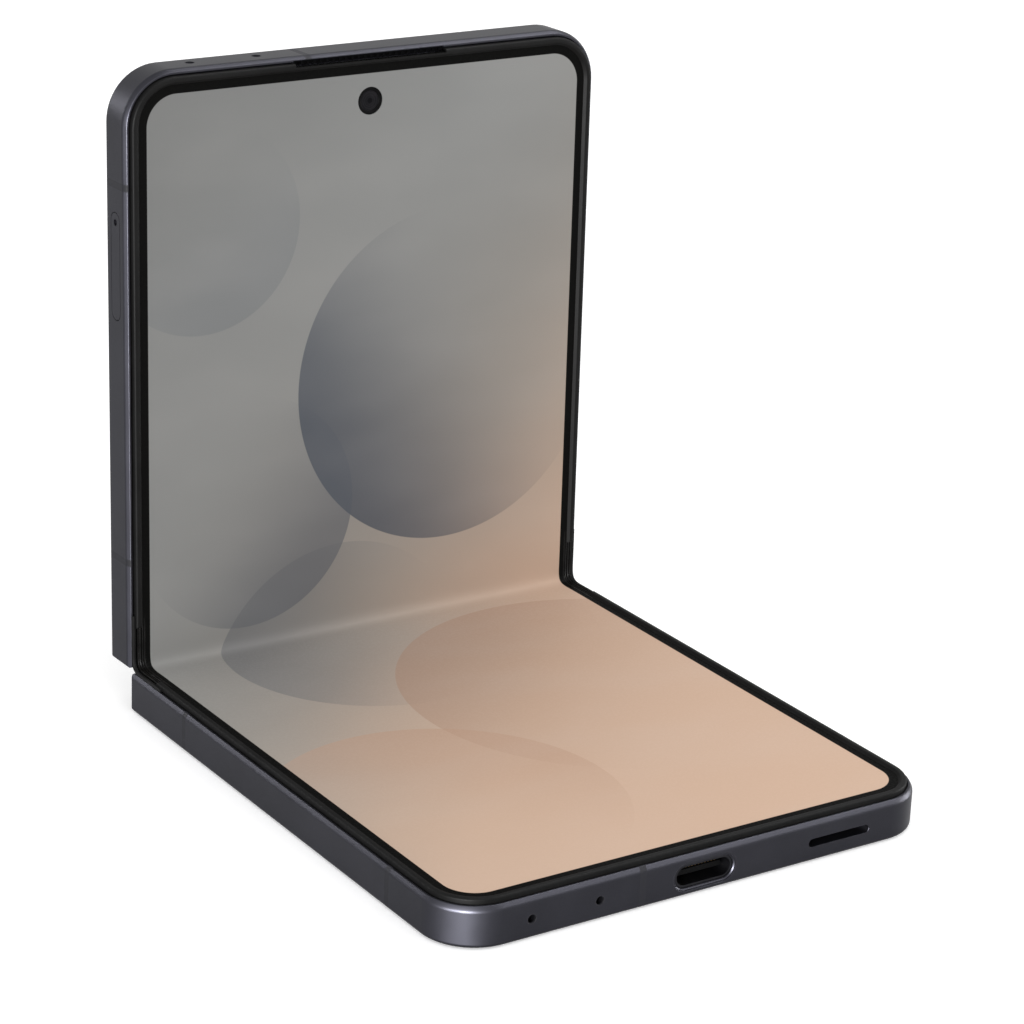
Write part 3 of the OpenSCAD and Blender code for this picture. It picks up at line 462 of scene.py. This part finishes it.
def display_image(name, source):
    """The picture on one stretch of the display: lower, upper or fold."""
    t = Tree(name)
    place = t.place()
    if source == "fold":
        uv = t.split(t.add("ShaderNodeUVMap", uv_map="unrolled").outputs[0])
        x, s = t.maths("MULTIPLY", uv[0], UV_MM), t.maths("MULTIPLY", uv[1], UV_MM)
    else:
        parts = t.split(place)
        x = parts[0]
        if source == "lower":
            s = t.maths("SUBTRACT", parts[1], HALF_L / 2 + 0.1)
        else:
            s = t.maths("ADD", t.along_upper(place), 0.1)
    p = t.join(x, s)
    cloud = t.noise(t.vector("MULTIPLY", p, (0.02, 0.035, 0)), 1.0, 3.0, 0.5)
    ramp_node = t.add("ShaderNodeValToRGB")
    ramp = ramp_node.color_ramp
    shifted = t.maths("ADD", s, t.maths("MULTIPLY", x, -FIELD_SLOPE))
    shifted = t.maths("ADD", shifted, t.remap(cloud, 0.3, 0.7, -4, 4, "LINEAR"))
    t.put(ramp_node, {0: t.remap(shifted, FIELD_FROM, FIELD_TO, 0, 1, "LINEAR")})
    ramp.interpolation = "B_SPLINE"
    ramp.elements.remove(ramp.elements[1])
    for k, (at, colour) in enumerate(FIELD):
        position = (at - FIELD_FROM) / (FIELD_TO - FIELD_FROM)
        element = ramp.elements[0] if k == 0 else ramp.elements.new(position)
        element.position = position
        element.color = colour
    colour = ramp_node.outputs[0]
    for cx, cs, radius, turn, tint, strength in DISCS:
        away = t.vector("SUBTRACT", p, (cx, cs, 0))
        reach = t.vector("LENGTH", away, out=1)
        inside = t.remap(reach, radius + 0.06, radius - 0.06)
        side = (math.cos(math.radians(turn)), math.sin(math.radians(turn)), 0)
        shade = t.maths("DIVIDE", t.vector("DOT_PRODUCT", away, side, out=1), radius)
        shade = t.remap(shade, -0.75, 1.0)
        shade = t.maths("POWER", shade, 1.6)
        amount = t.maths("MULTIPLY", t.maths("MULTIPLY", shade, inside), strength)
        colour = t.mix(amount, colour, tint)
    # Fine mottle, then the black border
    haze = t.noise(t.vector("MULTIPLY", p, (0.03, 0.07, 0)), 1.0, 2.0, 0.5)
    colour = t.mix(t.remap(haze, 0.35, 0.7, 0.0, 0.04), colour, srgb(228, 224, 220))
    lit = t.rounded(p, (0, 0), (IMAGE_HALF_W, IMAGE_HALF_L), IMAGE_R)
    dust = t.noise(place, 3.0, 2.0)
    border = t.mix(dust, srgb(17, 17, 17), srgb(22, 22, 21))
    colour = t.mix(lit, border, colour)
    return t.finish(colour=colour, roughness=t.remap(dust, 0.2, 0.8, 0.24, 0.3), ior=1.04)


MAKERS = {"anodised_metal": anodised_metal, "antenna_plastic": antenna_plastic,
          "rim_plastic": rim_plastic, "back_glass": back_glass, "black_plastic": black_plastic,
          "steel": steel, "battery_wrap": battery_wrap, "circuit_board": circuit_board,
          "copper": copper, "lens_glass": lens_glass, "flash_plastic": flash_plastic}


# ---------------------------------------------------------------- carried-over parts

def smooth(obj, angle=28):
    """Shades curved faces smooth and keeps true edges sharp."""
    for polygon in obj.data.polygons:
        polygon.use_smooth = True
    weld = obj.modifiers.new("weld", "WELD")
    weld.merge_threshold = 1e-6
    split = obj.modifiers.new("edges", "EDGE_SPLIT")
    split.split_angle = math.radians(angle)
    split.use_edge_sharp = False
    level = obj.modifiers.new("level", "WEIGHTED_NORMAL")
    level.mode = "FACE_AREA"
    level.keep_sharp = True


SLOTS = {part["node"]: part["material_slot"] for part in frame["record"]["subparts"]}

for name, obj in frame["nodes"].items():
    slot = SLOTS[name]
    if slot == "display":
        material = display_image("display_image_" + name, "upper" if name == "display_upper" else "lower")
    elif name in ("speaker_mesh", "earpiece_mesh"):
        material = get("fine_mesh", fine_mesh)
    elif name == "usb_tongue":
        material = get("port_plastic", port_plastic)
    elif name == "upper_back_cover":
        material = get("cover_glass", cover_glass)
    # Socket shell and microphones are painted dark, as painted shade inside the ports.
    elif name in ("usb_shell", "bottom_microphones", "top_microphones"):
        material = get("port_steel_painted_shade", port_steel_painted_shade)
    else:
        material = get(slot, MAKERS[slot])
    obj.data.materials.clear()
    obj.data.materials.append(material)
    smooth(obj)


# ---------------------------------------------------------------- pieces

def piece(name, verts, faces, space, body, material, uvs=None, angle=30, ride=True):
    """A mesh piece drawn in one of the three spaces."""
    mesh = bpy.data.meshes.new(name)
    mesh.from_pydata([tuple(space @ Vector(v)) for v in verts], [], faces)
    if uvs is not None:
        layer = mesh.uv_layers.new(name="unrolled")
        for loop in mesh.loops:
            layer.data[loop.index].uv = uvs[loop.vertex_index]
    mesh.materials.append(material)
    work = bmesh.new()
    work.from_mesh(mesh)
    bmesh.ops.recalc_face_normals(work, faces=work.faces)
    work.to_mesh(mesh)
    work.free()
    obj = bpy.data.objects.new(name, mesh)
    bpy.context.scene.collection.objects.link(obj)
    if angle:
        smooth(obj, angle)
    if ride:
        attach(obj, body)
    return obj


# Folding stretch of the display, as two strips that meet in the middle of the hinge
FOLD_STEPS = 64
STRIP_COLUMNS = 24
# Powers of the lean's fall and of its bulge: the higher, the nearer to the middle the strip turns
LEAN_POWER, BULGE_POWER = 7, 6
# Range in which the bulge is sought, and how often that range is halved
BULGE_RANGE = (-3.0, 6.0)
BULGE_HALVINGS = 50


def fold_path():
    """Points (y, z, s, lean) of the middle layer in hinge space, from the lower half to the middle.

    The lean starts as that of the half, so that no crease shows where the strip begins, and falls to
    nothing in the middle. Its bulge is set so that the strip ends exactly in the middle."""
    length = BEND_START + HALF_GAP
    span = HALF_GAP + BEND_START * math.cos(FOLD)
    steps = FOLD_STEPS

    def lean(u, bulge):
        return FOLD * (1 - u ** LEAN_POWER) + bulge * u ** BULGE_POWER * (1 - u)

    low, high = BULGE_RANGE
    for _ in range(BULGE_HALVINGS):
        bulge = (low + high) / 2
        reach = sum(math.cos(lean((i + 0.5) / steps, bulge)) for i in range(steps)) * length / steps
        low, high = (bulge, high) if reach > span else (low, bulge)
    y, z = -span, BEND_START * math.sin(FOLD)
    points = [(y, z, -length, FOLD)]
    for i in range(steps):
        a = lean((i + 0.5) / steps, bulge)
        y += math.cos(a) * length / steps
        z -= math.sin(a) * length / steps
        points.append((y, z, (i + 1) / steps * length - length, lean((i + 1) / steps, bulge)))
    return points


def bend(obj, side):
    """Bakes a strip's placement into its mesh; it does not bend the strip."""
    if side > 0:
        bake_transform(obj)
    else:
        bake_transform(obj)


def fold_strip(name, side):
    """One of the two strips of the display's folding stretch, with the picture above and film below."""
    path = fold_path()
    across = STRIP_COLUMNS
    half_w = BODY_W / 2 - DISPLAY_IN
    verts, uvs, faces = [], [], []
    rows = len(path)
    for up in (1, -1):
        for y, z, s, lean in path:
            off = up * DISPLAY_T / 2
            py, pz = y + off * math.sin(lean), z + off * math.cos(lean)
            for j in range(across + 1):
                x = half_w * (2 * j / across - 1)
                verts.append((x, side * py, pz))
                uvs.append((x / UV_MM, side * s / UV_MM))
    width = across + 1
    count = rows * width
    for i in range(rows - 1):
        for j in range(across):
            a = i * width + j
            faces.append((a, a + 1, a + width + 1, a + width))
            faces.append((count + a, count + a + width, count + a + width + 1, count + a + 1))
    for i in range(rows - 1):
        for j in (0, across):
            a = i * width + j
            faces.append((a, a + width, count + a + width, count + a))
    for j in range(across):
        for i in (0, rows - 1):
            a = i * width + j
            faces.append((a, a + 1, count + a + 1, count + a))
    obj = piece(name, verts, faces, HINGE, None, get("display_image_fold", lambda: display_image(
        "display_image_fold", "fold")), uvs=uvs, ride=False)
    obj.data.materials.append(get("film_edge", film_edge))
    for polygon in obj.data.polygons:
        if min(polygon.vertices) >= count:
            polygon.material_index = 1
    bend(obj, side)
    return obj


lower_strip = fold_strip("display_fold_lower", 1)
fold_strip("display_fold_upper", -1)
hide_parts("display_fold")


RIDGE_POINTS = 7
# A ridge starts at this share of its height, and reaches all of it over this length, in mm
FADE_START, FADE_LENGTH = 0.15, 2.5


def fold_ridges(name, side, ridges, material, fades):
    """Thin edges of the film and its foils, or the soft lips between the ends of the rims."""
    path = fold_path()
    last = RIDGE_POINTS - 1
    verts, faces = [], []
    for x_side in (-1, 1):
        for inset, wide, rise, high in ridges:
            start = len(verts)
            for y, z, s, lean in path:
                fade = 1.0
                if fades:
                    fade = min(1.0, FADE_START + (s + BEND_START + HALF_GAP) / FADE_LENGTH)
                for k in range(RIDGE_POINTS):
                    a = math.pi * k / last
                    off = rise + high * fade * math.sin(a)
                    x = x_side * (BODY_W / 2 - inset) - wide / 2 * math.cos(a)
                    verts.append((x, side * (y + off * math.sin(lean)), z + off * math.cos(lean)))
            for i in range(len(path) - 1):
                for k in range(RIDGE_POINTS):
                    a = start + i * RIDGE_POINTS + k
                    b = start + i * RIDGE_POINTS + (k + 1) % RIDGE_POINTS
                    faces.append((a, b, b + RIDGE_POINTS, a + RIDGE_POINTS))
            for i in (0, len(path) - 1):
                faces.append(tuple(start + i * RIDGE_POINTS + k for k in range(RIDGE_POINTS)))
    obj = piece(name, verts, faces, HINGE, None, material, ride=False)
    bend(obj, side)


# Ridges and lips as (distance in from the outside, width, start and rise over the film's middle layer)
FILM_RIDGES = [(1.22, 0.16, 0.354, 0.12), (1.55, 0.2, 0.354, 0.09), (1.95, 0.14, 0.354, 0.07),
               (2.3, 0.22, 0.354, 0.05)]
LIP = [(0.72, 0.64, 0.02, 0.33)]
for half, bodies, side in (("lower", ("lower_half", "hinge"), 1), ("upper", ("hinge", "upper_half"), -1)):
    fold_ridges("film_edges_" + half, side, FILM_RIDGES, get("film_edge", film_edge), True)
    fold_ridges("fold_lips_" + half, side, LIP, MATERIALS["rim_plastic"], False)


# ---------------------------------------------------------------- turned and slot-shaped pieces

def lathe(name, profile, centre, space, body, material, steps=72, angle=30):
    """Turns closed profiles of (radius, z) about upright axes through the centres given."""
    verts, faces = [], []
    for cx, cy in centre:
        start = len(verts)
        for r, z in profile:
            for k in range(steps):
                a = 2 * math.pi * k / steps
                verts.append((cx + r * math.cos(a), cy + r * math.sin(a), z))
        rows = len(profile)
        solid = min(profile[0][0], profile[-1][0]) > 0.01
        for i in range(rows if solid else rows - 1):
            j = (i + 1) % rows
            for k in range(steps):
                m = (k + 1) % steps
                faces.append((start + i * steps + k, start + i * steps + m,
                              start + j * steps + m, start + j * steps + k))
        if not solid:
            faces.append(tuple(start + k for k in range(steps)))
            faces.append(tuple(start + (rows - 1) * steps + k for k in range(steps)))
    return piece(name, verts, faces, space, body, material, angle=angle)


def stadium(length, height, inset, steps=14):
    """Points (a, b) of a slot outline, long in a, moved inwards by inset."""
    r = height / 2 - inset
    points = []
    for end in (1, -1):
        for k in range(steps + 1):
            a = math.pi * (k / steps - 0.5)
            points.append((end * ((length - height) / 2 + r * math.cos(a)), end * r * math.sin(a)))
    return points


def slot_rings(name, length, height, profile, centres, spot, space, body, material, slot,
               closed=False, angle=35):
    """Sweeps a profile of (inset, out) round slot outlines. spot(a, b, out, centre) places a point."""
    verts, faces = [], []
    for centre in centres:
        start = len(verts)
        for inset, out in profile:
            outline = stadium(length, height, inset)
            ring = len(outline)
            verts.extend(spot(a, b, out, centre) for a, b in outline)
        rows = len(profile)
        for i in range(rows if closed else rows - 1):
            j = (i + 1) % rows
            for k in range(ring):
                m = (k + 1) % ring
                faces.append((start + i * ring + k, start + i * ring + m,
                              start + j * ring + m, start + j * ring + k))
        if not closed:
            faces.append(tuple(start + k for k in range(ring)))
            faces.append(tuple(start + (rows - 1) * ring + k for k in range(ring)))
    return piece(name, verts, faces, space, body, material, angle=angle)


def arc(cx, cy, r, a0, a1, steps=6):
    return [(cx + r * math.cos(math.radians(a0 + (a1 - a0) * i / steps)),
             cy + r * math.sin(math.radians(a0 + (a1 - a0) * i / steps))) for i in range(steps + 1)]


def on_end(a, b, out, centre):
    """On the end wall of a half: a across, b up, out away from the phone."""
    return (centre + a, HALF_L + out, PORT_Z + b)


def on_right(a, b, out, centre):
    """On the right wall of the upper half: a along the half, b up from the back."""
    return (BODY_W / 2 + out, centre + a, KEY_Z + b)


METAL = MATERIALS["anodised_metal"]

# Chamfered lips round the openings of both end walls: outer length and height, then the section
USB_SLOT = (10.1, 4.3)
SPEAKER_SLOT = (10.06, 1.36)
# A hole is a slot barely longer than it is high
MICROPHONE_HOLE = (1.42, 1.4199)
MICROPHONE_NET = (1.2, 1.1999)
NET_DEPTHS = [(0.0, -0.9), (0.0, -0.95)]
USB_LIP = [(0.0, 0.0), (0.03, 0.012), (0.1, 0.014), (0.16, 0.0), (0.52, -0.34), (0.56, -0.42),
           (0.56, -0.6), (0.3, -0.6), (0.02, -0.1)]
SPEAKER_LIP = [(0.0, 0.0), (0.02, 0.008), (0.05, 0.008), (0.09, -0.03), (0.1, -0.2), (0.04, -0.2),
               (0.0, -0.05)]
MICROPHONE_LIP = [(0.0, 0.0), (0.02, 0.01), (0.06, 0.01), (0.12, -0.05), (0.13, -0.25), (0.05, -0.25),
                  (0.0, -0.05)]
slot_rings("usb_opening_lip", *USB_SLOT, USB_LIP,
           [0.0], on_end, LOWER, "lower_half", METAL, "anodised_metal", closed=True)
slot_rings("speaker_slot_lip", *SPEAKER_SLOT, SPEAKER_LIP,
           [SPEAKER_X], on_end, LOWER, "lower_half", METAL, "anodised_metal", closed=True)
for half, space, body in (("lower", LOWER, "lower_half"), ("upper", UPPER, "upper_half")):
    slot_rings(half + "_microphone_lips", *MICROPHONE_HOLE, MICROPHONE_LIP,
               MICROPHONE_X, on_end, space, body, get("hole_edge", hole_edge), "anodised_metal",
               closed=True)
    slot_rings(half + "_microphone_nets", *MICROPHONE_NET, NET_DEPTHS,
               MICROPHONE_X, on_end, space, body, get("fine_mesh", fine_mesh), "black_plastic")

# Contacts of the charging socket
CONTACTS = 12
CONTACT_PITCH = 0.5
CONTACT_W = 0.25
CONTACT_T = 0.03
CONTACT_FROM, CONTACT_TO = 78.2, 82.3
TONGUE_HALF_T = 0.35
CONTACT_BEVEL = ((0.03, 0.05), (-0.03, 0.05), (-0.03, -0.05), (0.03, -0.05))
BLOCK_FACES = ((0, 1, 2, 3), (4, 5, 6, 7), (0, 1, 5, 4), (1, 2, 6, 5), (2, 3, 7, 6), (3, 0, 4, 7))


def usb_contacts():
    """Contacts on both faces of the socket tongue."""
    verts, faces = [], []
    for face in (-1, 1):
        z0 = PORT_Z + face * TONGUE_HALF_T
        for k in range(CONTACTS):
            x0 = CONTACT_PITCH * (k - (CONTACTS - 1) / 2) - CONTACT_W / 2
            x1 = x0 + CONTACT_W
            corner = [(x0, CONTACT_FROM), (x1, CONTACT_FROM), (x1, CONTACT_TO), (x0, CONTACT_TO)]
            start = len(verts)
            verts += [(x, v, z0) for x, v in corner]
            verts += [(x + dx, v + dv, z0 + face * CONTACT_T)
                      for (x, v), (dx, dv) in zip(corner, CONTACT_BEVEL)]
            faces += [tuple(start + corner_no for corner_no in quad) for quad in BLOCK_FACES]
    piece("usb_contacts", verts, faces, LOWER, "lower_half", get("gold_contacts", gold))


usb_contacts()

# Keys: height, section of the foot inside the wall, and inset and rise of the crown
KEY_H = 2.2
KEY_FOOT = [(0.4, -2.72), (0.0, -2.72)]
KEY_CROWN_IN, KEY_CROWN = 0.85, 0.003
# Keys as (name, node, length, centre, how far it stands out, radius and steps of its soft edge)
KEYS = [("volume_key_cap", "volume_key", 17.0, 57.5, 0.35, 0.24, 6),
        ("side_key_cap", "side_key", 12.0, 40.0, 0.05, 0.12, 4)]
for name, node, length, centre, out, soft_r, soft_steps in KEYS:
    soft = arc(soft_r, out - soft_r, soft_r, 180, 90, soft_steps)
    key = slot_rings(name, length, KEY_H, KEY_FOOT + soft + [(KEY_CROWN_IN, out + KEY_CROWN)],
                     [centre], on_right, UPPER, frame["nodes"][node]["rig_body"],
                     METAL, "anodised_metal")
    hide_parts(node)

# Turned pieces close this near their axis, in mm
AXIS_R = 0.0005

# Front camera: black shroud with a bevelled inner edge, and the outer lens set a little lower
FRONT_CAMERA = [(0, FRONT_CAMERA_V)]
SHROUD = ([(1.93, 5.5), (1.93, 6.02)] + arc(1.88, 5.98, 0.05, 40, 90, 3)
          + [(1.52, 6.02), (1.46, 6.0), (1.42, 5.94), (1.4, 5.9), (1.4, 5.6), (1.7, 5.5)])
FRONT_LENS = [(AXIS_R, 5.972), (0.4, 5.967), (0.8, 5.952), (0.86, 5.94), (0.9, 5.951), (1.2, 5.937),
              (1.41, 5.925), (1.41, 5.7), (AXIS_R, 5.7)]
lathe("front_camera_shroud", SHROUD, FRONT_CAMERA, UPPER, "upper_half",
      get("shroud_plastic", shroud_plastic))
lathe("front_camera_lens", FRONT_LENS, FRONT_CAMERA, UPPER, "upper_half",
      get("dark_lens", dark_lens))

# Rear cameras: bright edge of the ring, stepped black well with a ridged barrel, lens dome, inner ring
REAR = [(x, CAMERA_V) for x in CAMERA_X]
RING_EDGE = ([(6.32, -0.96)] + arc(6.2, -1.0, 0.08, 0, -90, 4) + [(5.5, -1.08)]
             + arc(5.45, -1.0, 0.08, -90, -180, 4) + [(5.37, -0.8), (5.34, -0.75), (6.3, -0.75)])
BARREL = [(3.5 - 0.16 * k, -0.6 + 0.045 * k + (0.03 if k % 2 else 0.0)) for k in range(1, 9)]
WELL = ([(5.24, -0.76), (5.2, -0.8), (3.62, -0.8), (3.55, -0.78), (3.5, -0.6)] + BARREL
        + [(2.1, -0.2), (5.24, -0.2)])
DOME = [(AXIS_R, -0.62), (0.5, -0.605), (1.0, -0.56), (1.5, -0.48), (1.9, -0.38), (2.2, -0.26),
        (2.2, -0.18), (AXIS_R, -0.18)]
INNER_RING = [(3.3, -0.66), (3.28, -0.69), (3.16, -0.69), (3.14, -0.66), (3.14, -0.5), (3.3, -0.5)]
lathe("camera_ring_edges", RING_EDGE, REAR, UPPER, "upper_half", METAL, steps=96)
wells = lathe("camera_wells", WELL, REAR, UPPER, "upper_half", get("shroud_plastic", shroud_plastic),
              steps=96, angle=20)
lathe("camera_lens_domes", DOME, REAR, UPPER, "upper_half", get("coated_lens", coated_lens),
      steps=96)
lathe("camera_inner_rings", INNER_RING, REAR, UPPER, "upper_half", MATERIALS["steel"], steps=96)
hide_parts("camera_lenses")

# Flash: a round window with stepped rings
FLASH_RINGS = []
for k in range(7):
    FLASH_RINGS += [(1.6 - 0.2 * k, 0.0 if k == 0 else -0.01), (1.5 - 0.2 * k, -0.05)]
FLASH_WINDOW = [(1.66, 0.2), (1.66, 0.0)] + FLASH_RINGS + [(AXIS_R, -0.03), (AXIS_R, 0.2)]
lathe("flash_window", FLASH_WINDOW, [FLASH], UPPER, "upper_half", MATERIALS["flash_plastic"],
      angle=15)


# ---------------------------------------------------------------- camera

# Place in metres, turns in degrees and lens in mm, as fitted to the view
CAMERA_AT = (-0.2329919, -0.3383924, 0.1895364)
CAMERA_HEADING, CAMERA_TILT, CAMERA_ROLL = -34.1871, 69.6450, 2.4063
CAMERA_LENS = 116.579

scene = bpy.context.scene
camera_data = bpy.data.cameras.new("camera")
camera = bpy.data.objects.new("camera", camera_data)
scene.collection.objects.link(camera)
camera.location = CAMERA_AT
camera.rotation_mode = "QUATERNION"
camera.rotation_quaternion = (Matrix.Rotation(math.radians(CAMERA_HEADING), 4, "Z")
                              @ Matrix.Rotation(math.radians(CAMERA_TILT), 4, "X")
                              @ Matrix.Rotation(math.radians(CAMERA_ROLL), 4, "Z")).to_quaternion()
camera_data.lens = CAMERA_LENS
camera_data.sensor_width = 36
camera_data.clip_start, camera_data.clip_end = 0.01, 20
scene.camera = camera
scene.view_settings.view_transform = "Standard"

# ---------------------------------------------------------------- floor and light

# Half the floor's side, and how far it lies under the phone, in metres
FLOOR_HALF = 4
FLOOR_DROP = 0.00005
# Glow that tops the lit floor up to white, for the camera and for reflections
FLOOR_GLOW, FLOOR_MIRROR_GLOW = 0.4, 0.12


def floor_finish():
    """Pale matt floor, whose own glow makes it white to the camera and in reflections."""
    t = Tree("floor")
    path = t.add("ShaderNodeLightPath").outputs
    mirrored = t.maths("ADD", path["Is Glossy Ray"], path["Is Transmission Ray"])
    seen = t.maths("ADD", t.maths("MULTIPLY", path["Is Camera Ray"], FLOOR_GLOW),
                   t.maths("MULTIPLY", mirrored, FLOOR_MIRROR_GLOW))
    t.put(t.bsdf, {"Base Color": (0.8, 0.8, 0.8, 1), "Roughness": 0.9, "Specular IOR Level": 0.0})
    glow = t.add("ShaderNodeEmission", {"Color": (1, 1, 1, 1), "Strength": seen})
    both = t.add("ShaderNodeAddShader", {0: t.bsdf.outputs[0], 1: glow.outputs[0]})
    t.put(t.out, {"Surface": both.outputs[0]})
    return t.material


floor_mesh = bpy.data.meshes.new("floor")
floor_mesh.from_pydata([(-FLOOR_HALF, -FLOOR_HALF, 0), (FLOOR_HALF, -FLOOR_HALF, 0),
                        (FLOOR_HALF, FLOOR_HALF, 0), (-FLOOR_HALF, FLOOR_HALF, 0)], [], [(0, 1, 2, 3)])
floor_mesh.materials.append(floor_finish())
floor = bpy.data.objects.new("floor", floor_mesh)
floor.location.z = -FLOOR_DROP
scene.collection.objects.link(floor)


def studio_world():
    """A soft even light that is plain white to the camera, in reflections and through glass."""
    world = bpy.data.worlds.new("studio")
    world.use_nodes = True
    tree = world.node_tree
    tree.nodes.clear()

    def total(a, b, clamp):
        node = tree.nodes.new("ShaderNodeMath")
        node.operation = "ADD"
        node.use_clamp = clamp
        tree.links.new(a, node.inputs[0])
        tree.links.new(b, node.inputs[1])
        return node.outputs[0]

    def background(strength):
        node = tree.nodes.new("ShaderNodeBackground")
        node.inputs[0].default_value = (1, 1, 1, 1)
        node.inputs[1].default_value = strength
        return node.outputs[0]

    path = tree.nodes.new("ShaderNodeLightPath").outputs
    mirrored = total(path["Is Glossy Ray"], path["Is Transmission Ray"], False)
    seen = total(path["Is Camera Ray"], mirrored, True)
    choose = tree.nodes.new("ShaderNodeMixShader")
    out = tree.nodes.new("ShaderNodeOutputWorld")
    for k, socket in enumerate((seen, background(0.95), background(1.0))):
        tree.links.new(socket, choose.inputs[k])
    tree.links.new(choose.outputs[0], out.inputs[0])
    return world


scene.world = studio_world()

# Point that the lamps face, in metres
LAMP_TARGET = (0, 0.02, 0.03)


def lamp(name, azimuth, elevation, distance, width, height, power, gloss_only):
    """An area lamp aimed at the object. Azimuth 0 is in front, 90 on the right, in degrees."""
    a, e = math.radians(azimuth), math.radians(elevation)
    target = Vector(LAMP_TARGET)
    data = bpy.data.lights.new(name, "AREA")
    data.shape = "RECTANGLE"
    data.size, data.size_y, data.energy = width, height, power
    obj = bpy.data.objects.new(name, data)
    scene.collection.objects.link(obj)
    obj.location = target + distance * Vector((math.sin(a) * math.cos(e), -math.cos(a) * math.cos(e),
                                               math.sin(e)))
    obj.rotation_mode = "QUATERNION"
    obj.rotation_quaternion = (target - obj.location).to_track_quat("-Z", "Y")
    if gloss_only:
        obj.visible_diffuse = False


# Lamps as (name, azimuth, elevation, distance, width, height, power, shows in gloss only)
LAMPS = [("key", -20, 55, 1.2, 0.7, 0.7, 1.8, False),
         ("fill", 60, 40, 1.3, 0.8, 0.8, 2.1, False),
         ("strip_top", 85, 57, 1.0, 0.5, 0.4, 9.5, True),
         ("strip_front", 38, 26, 1.0, 0.45, 0.25, 3.4, True),
         ("strip_right", 75, 1, 1.0, 0.4, 0.08, 8.0, True),
         ("strip_corner", -43, 1, 1.0, 0.12, 0.08, 50.0, True),
         ("strip_left", -65, 1, 1.0, 0.25, 0.08, 21.0, True),
         ("strip_back", -144, 16, 1.0, 0.12, 0.3, 2.4, True)]
for values in LAMPS:
    lamp(*values)
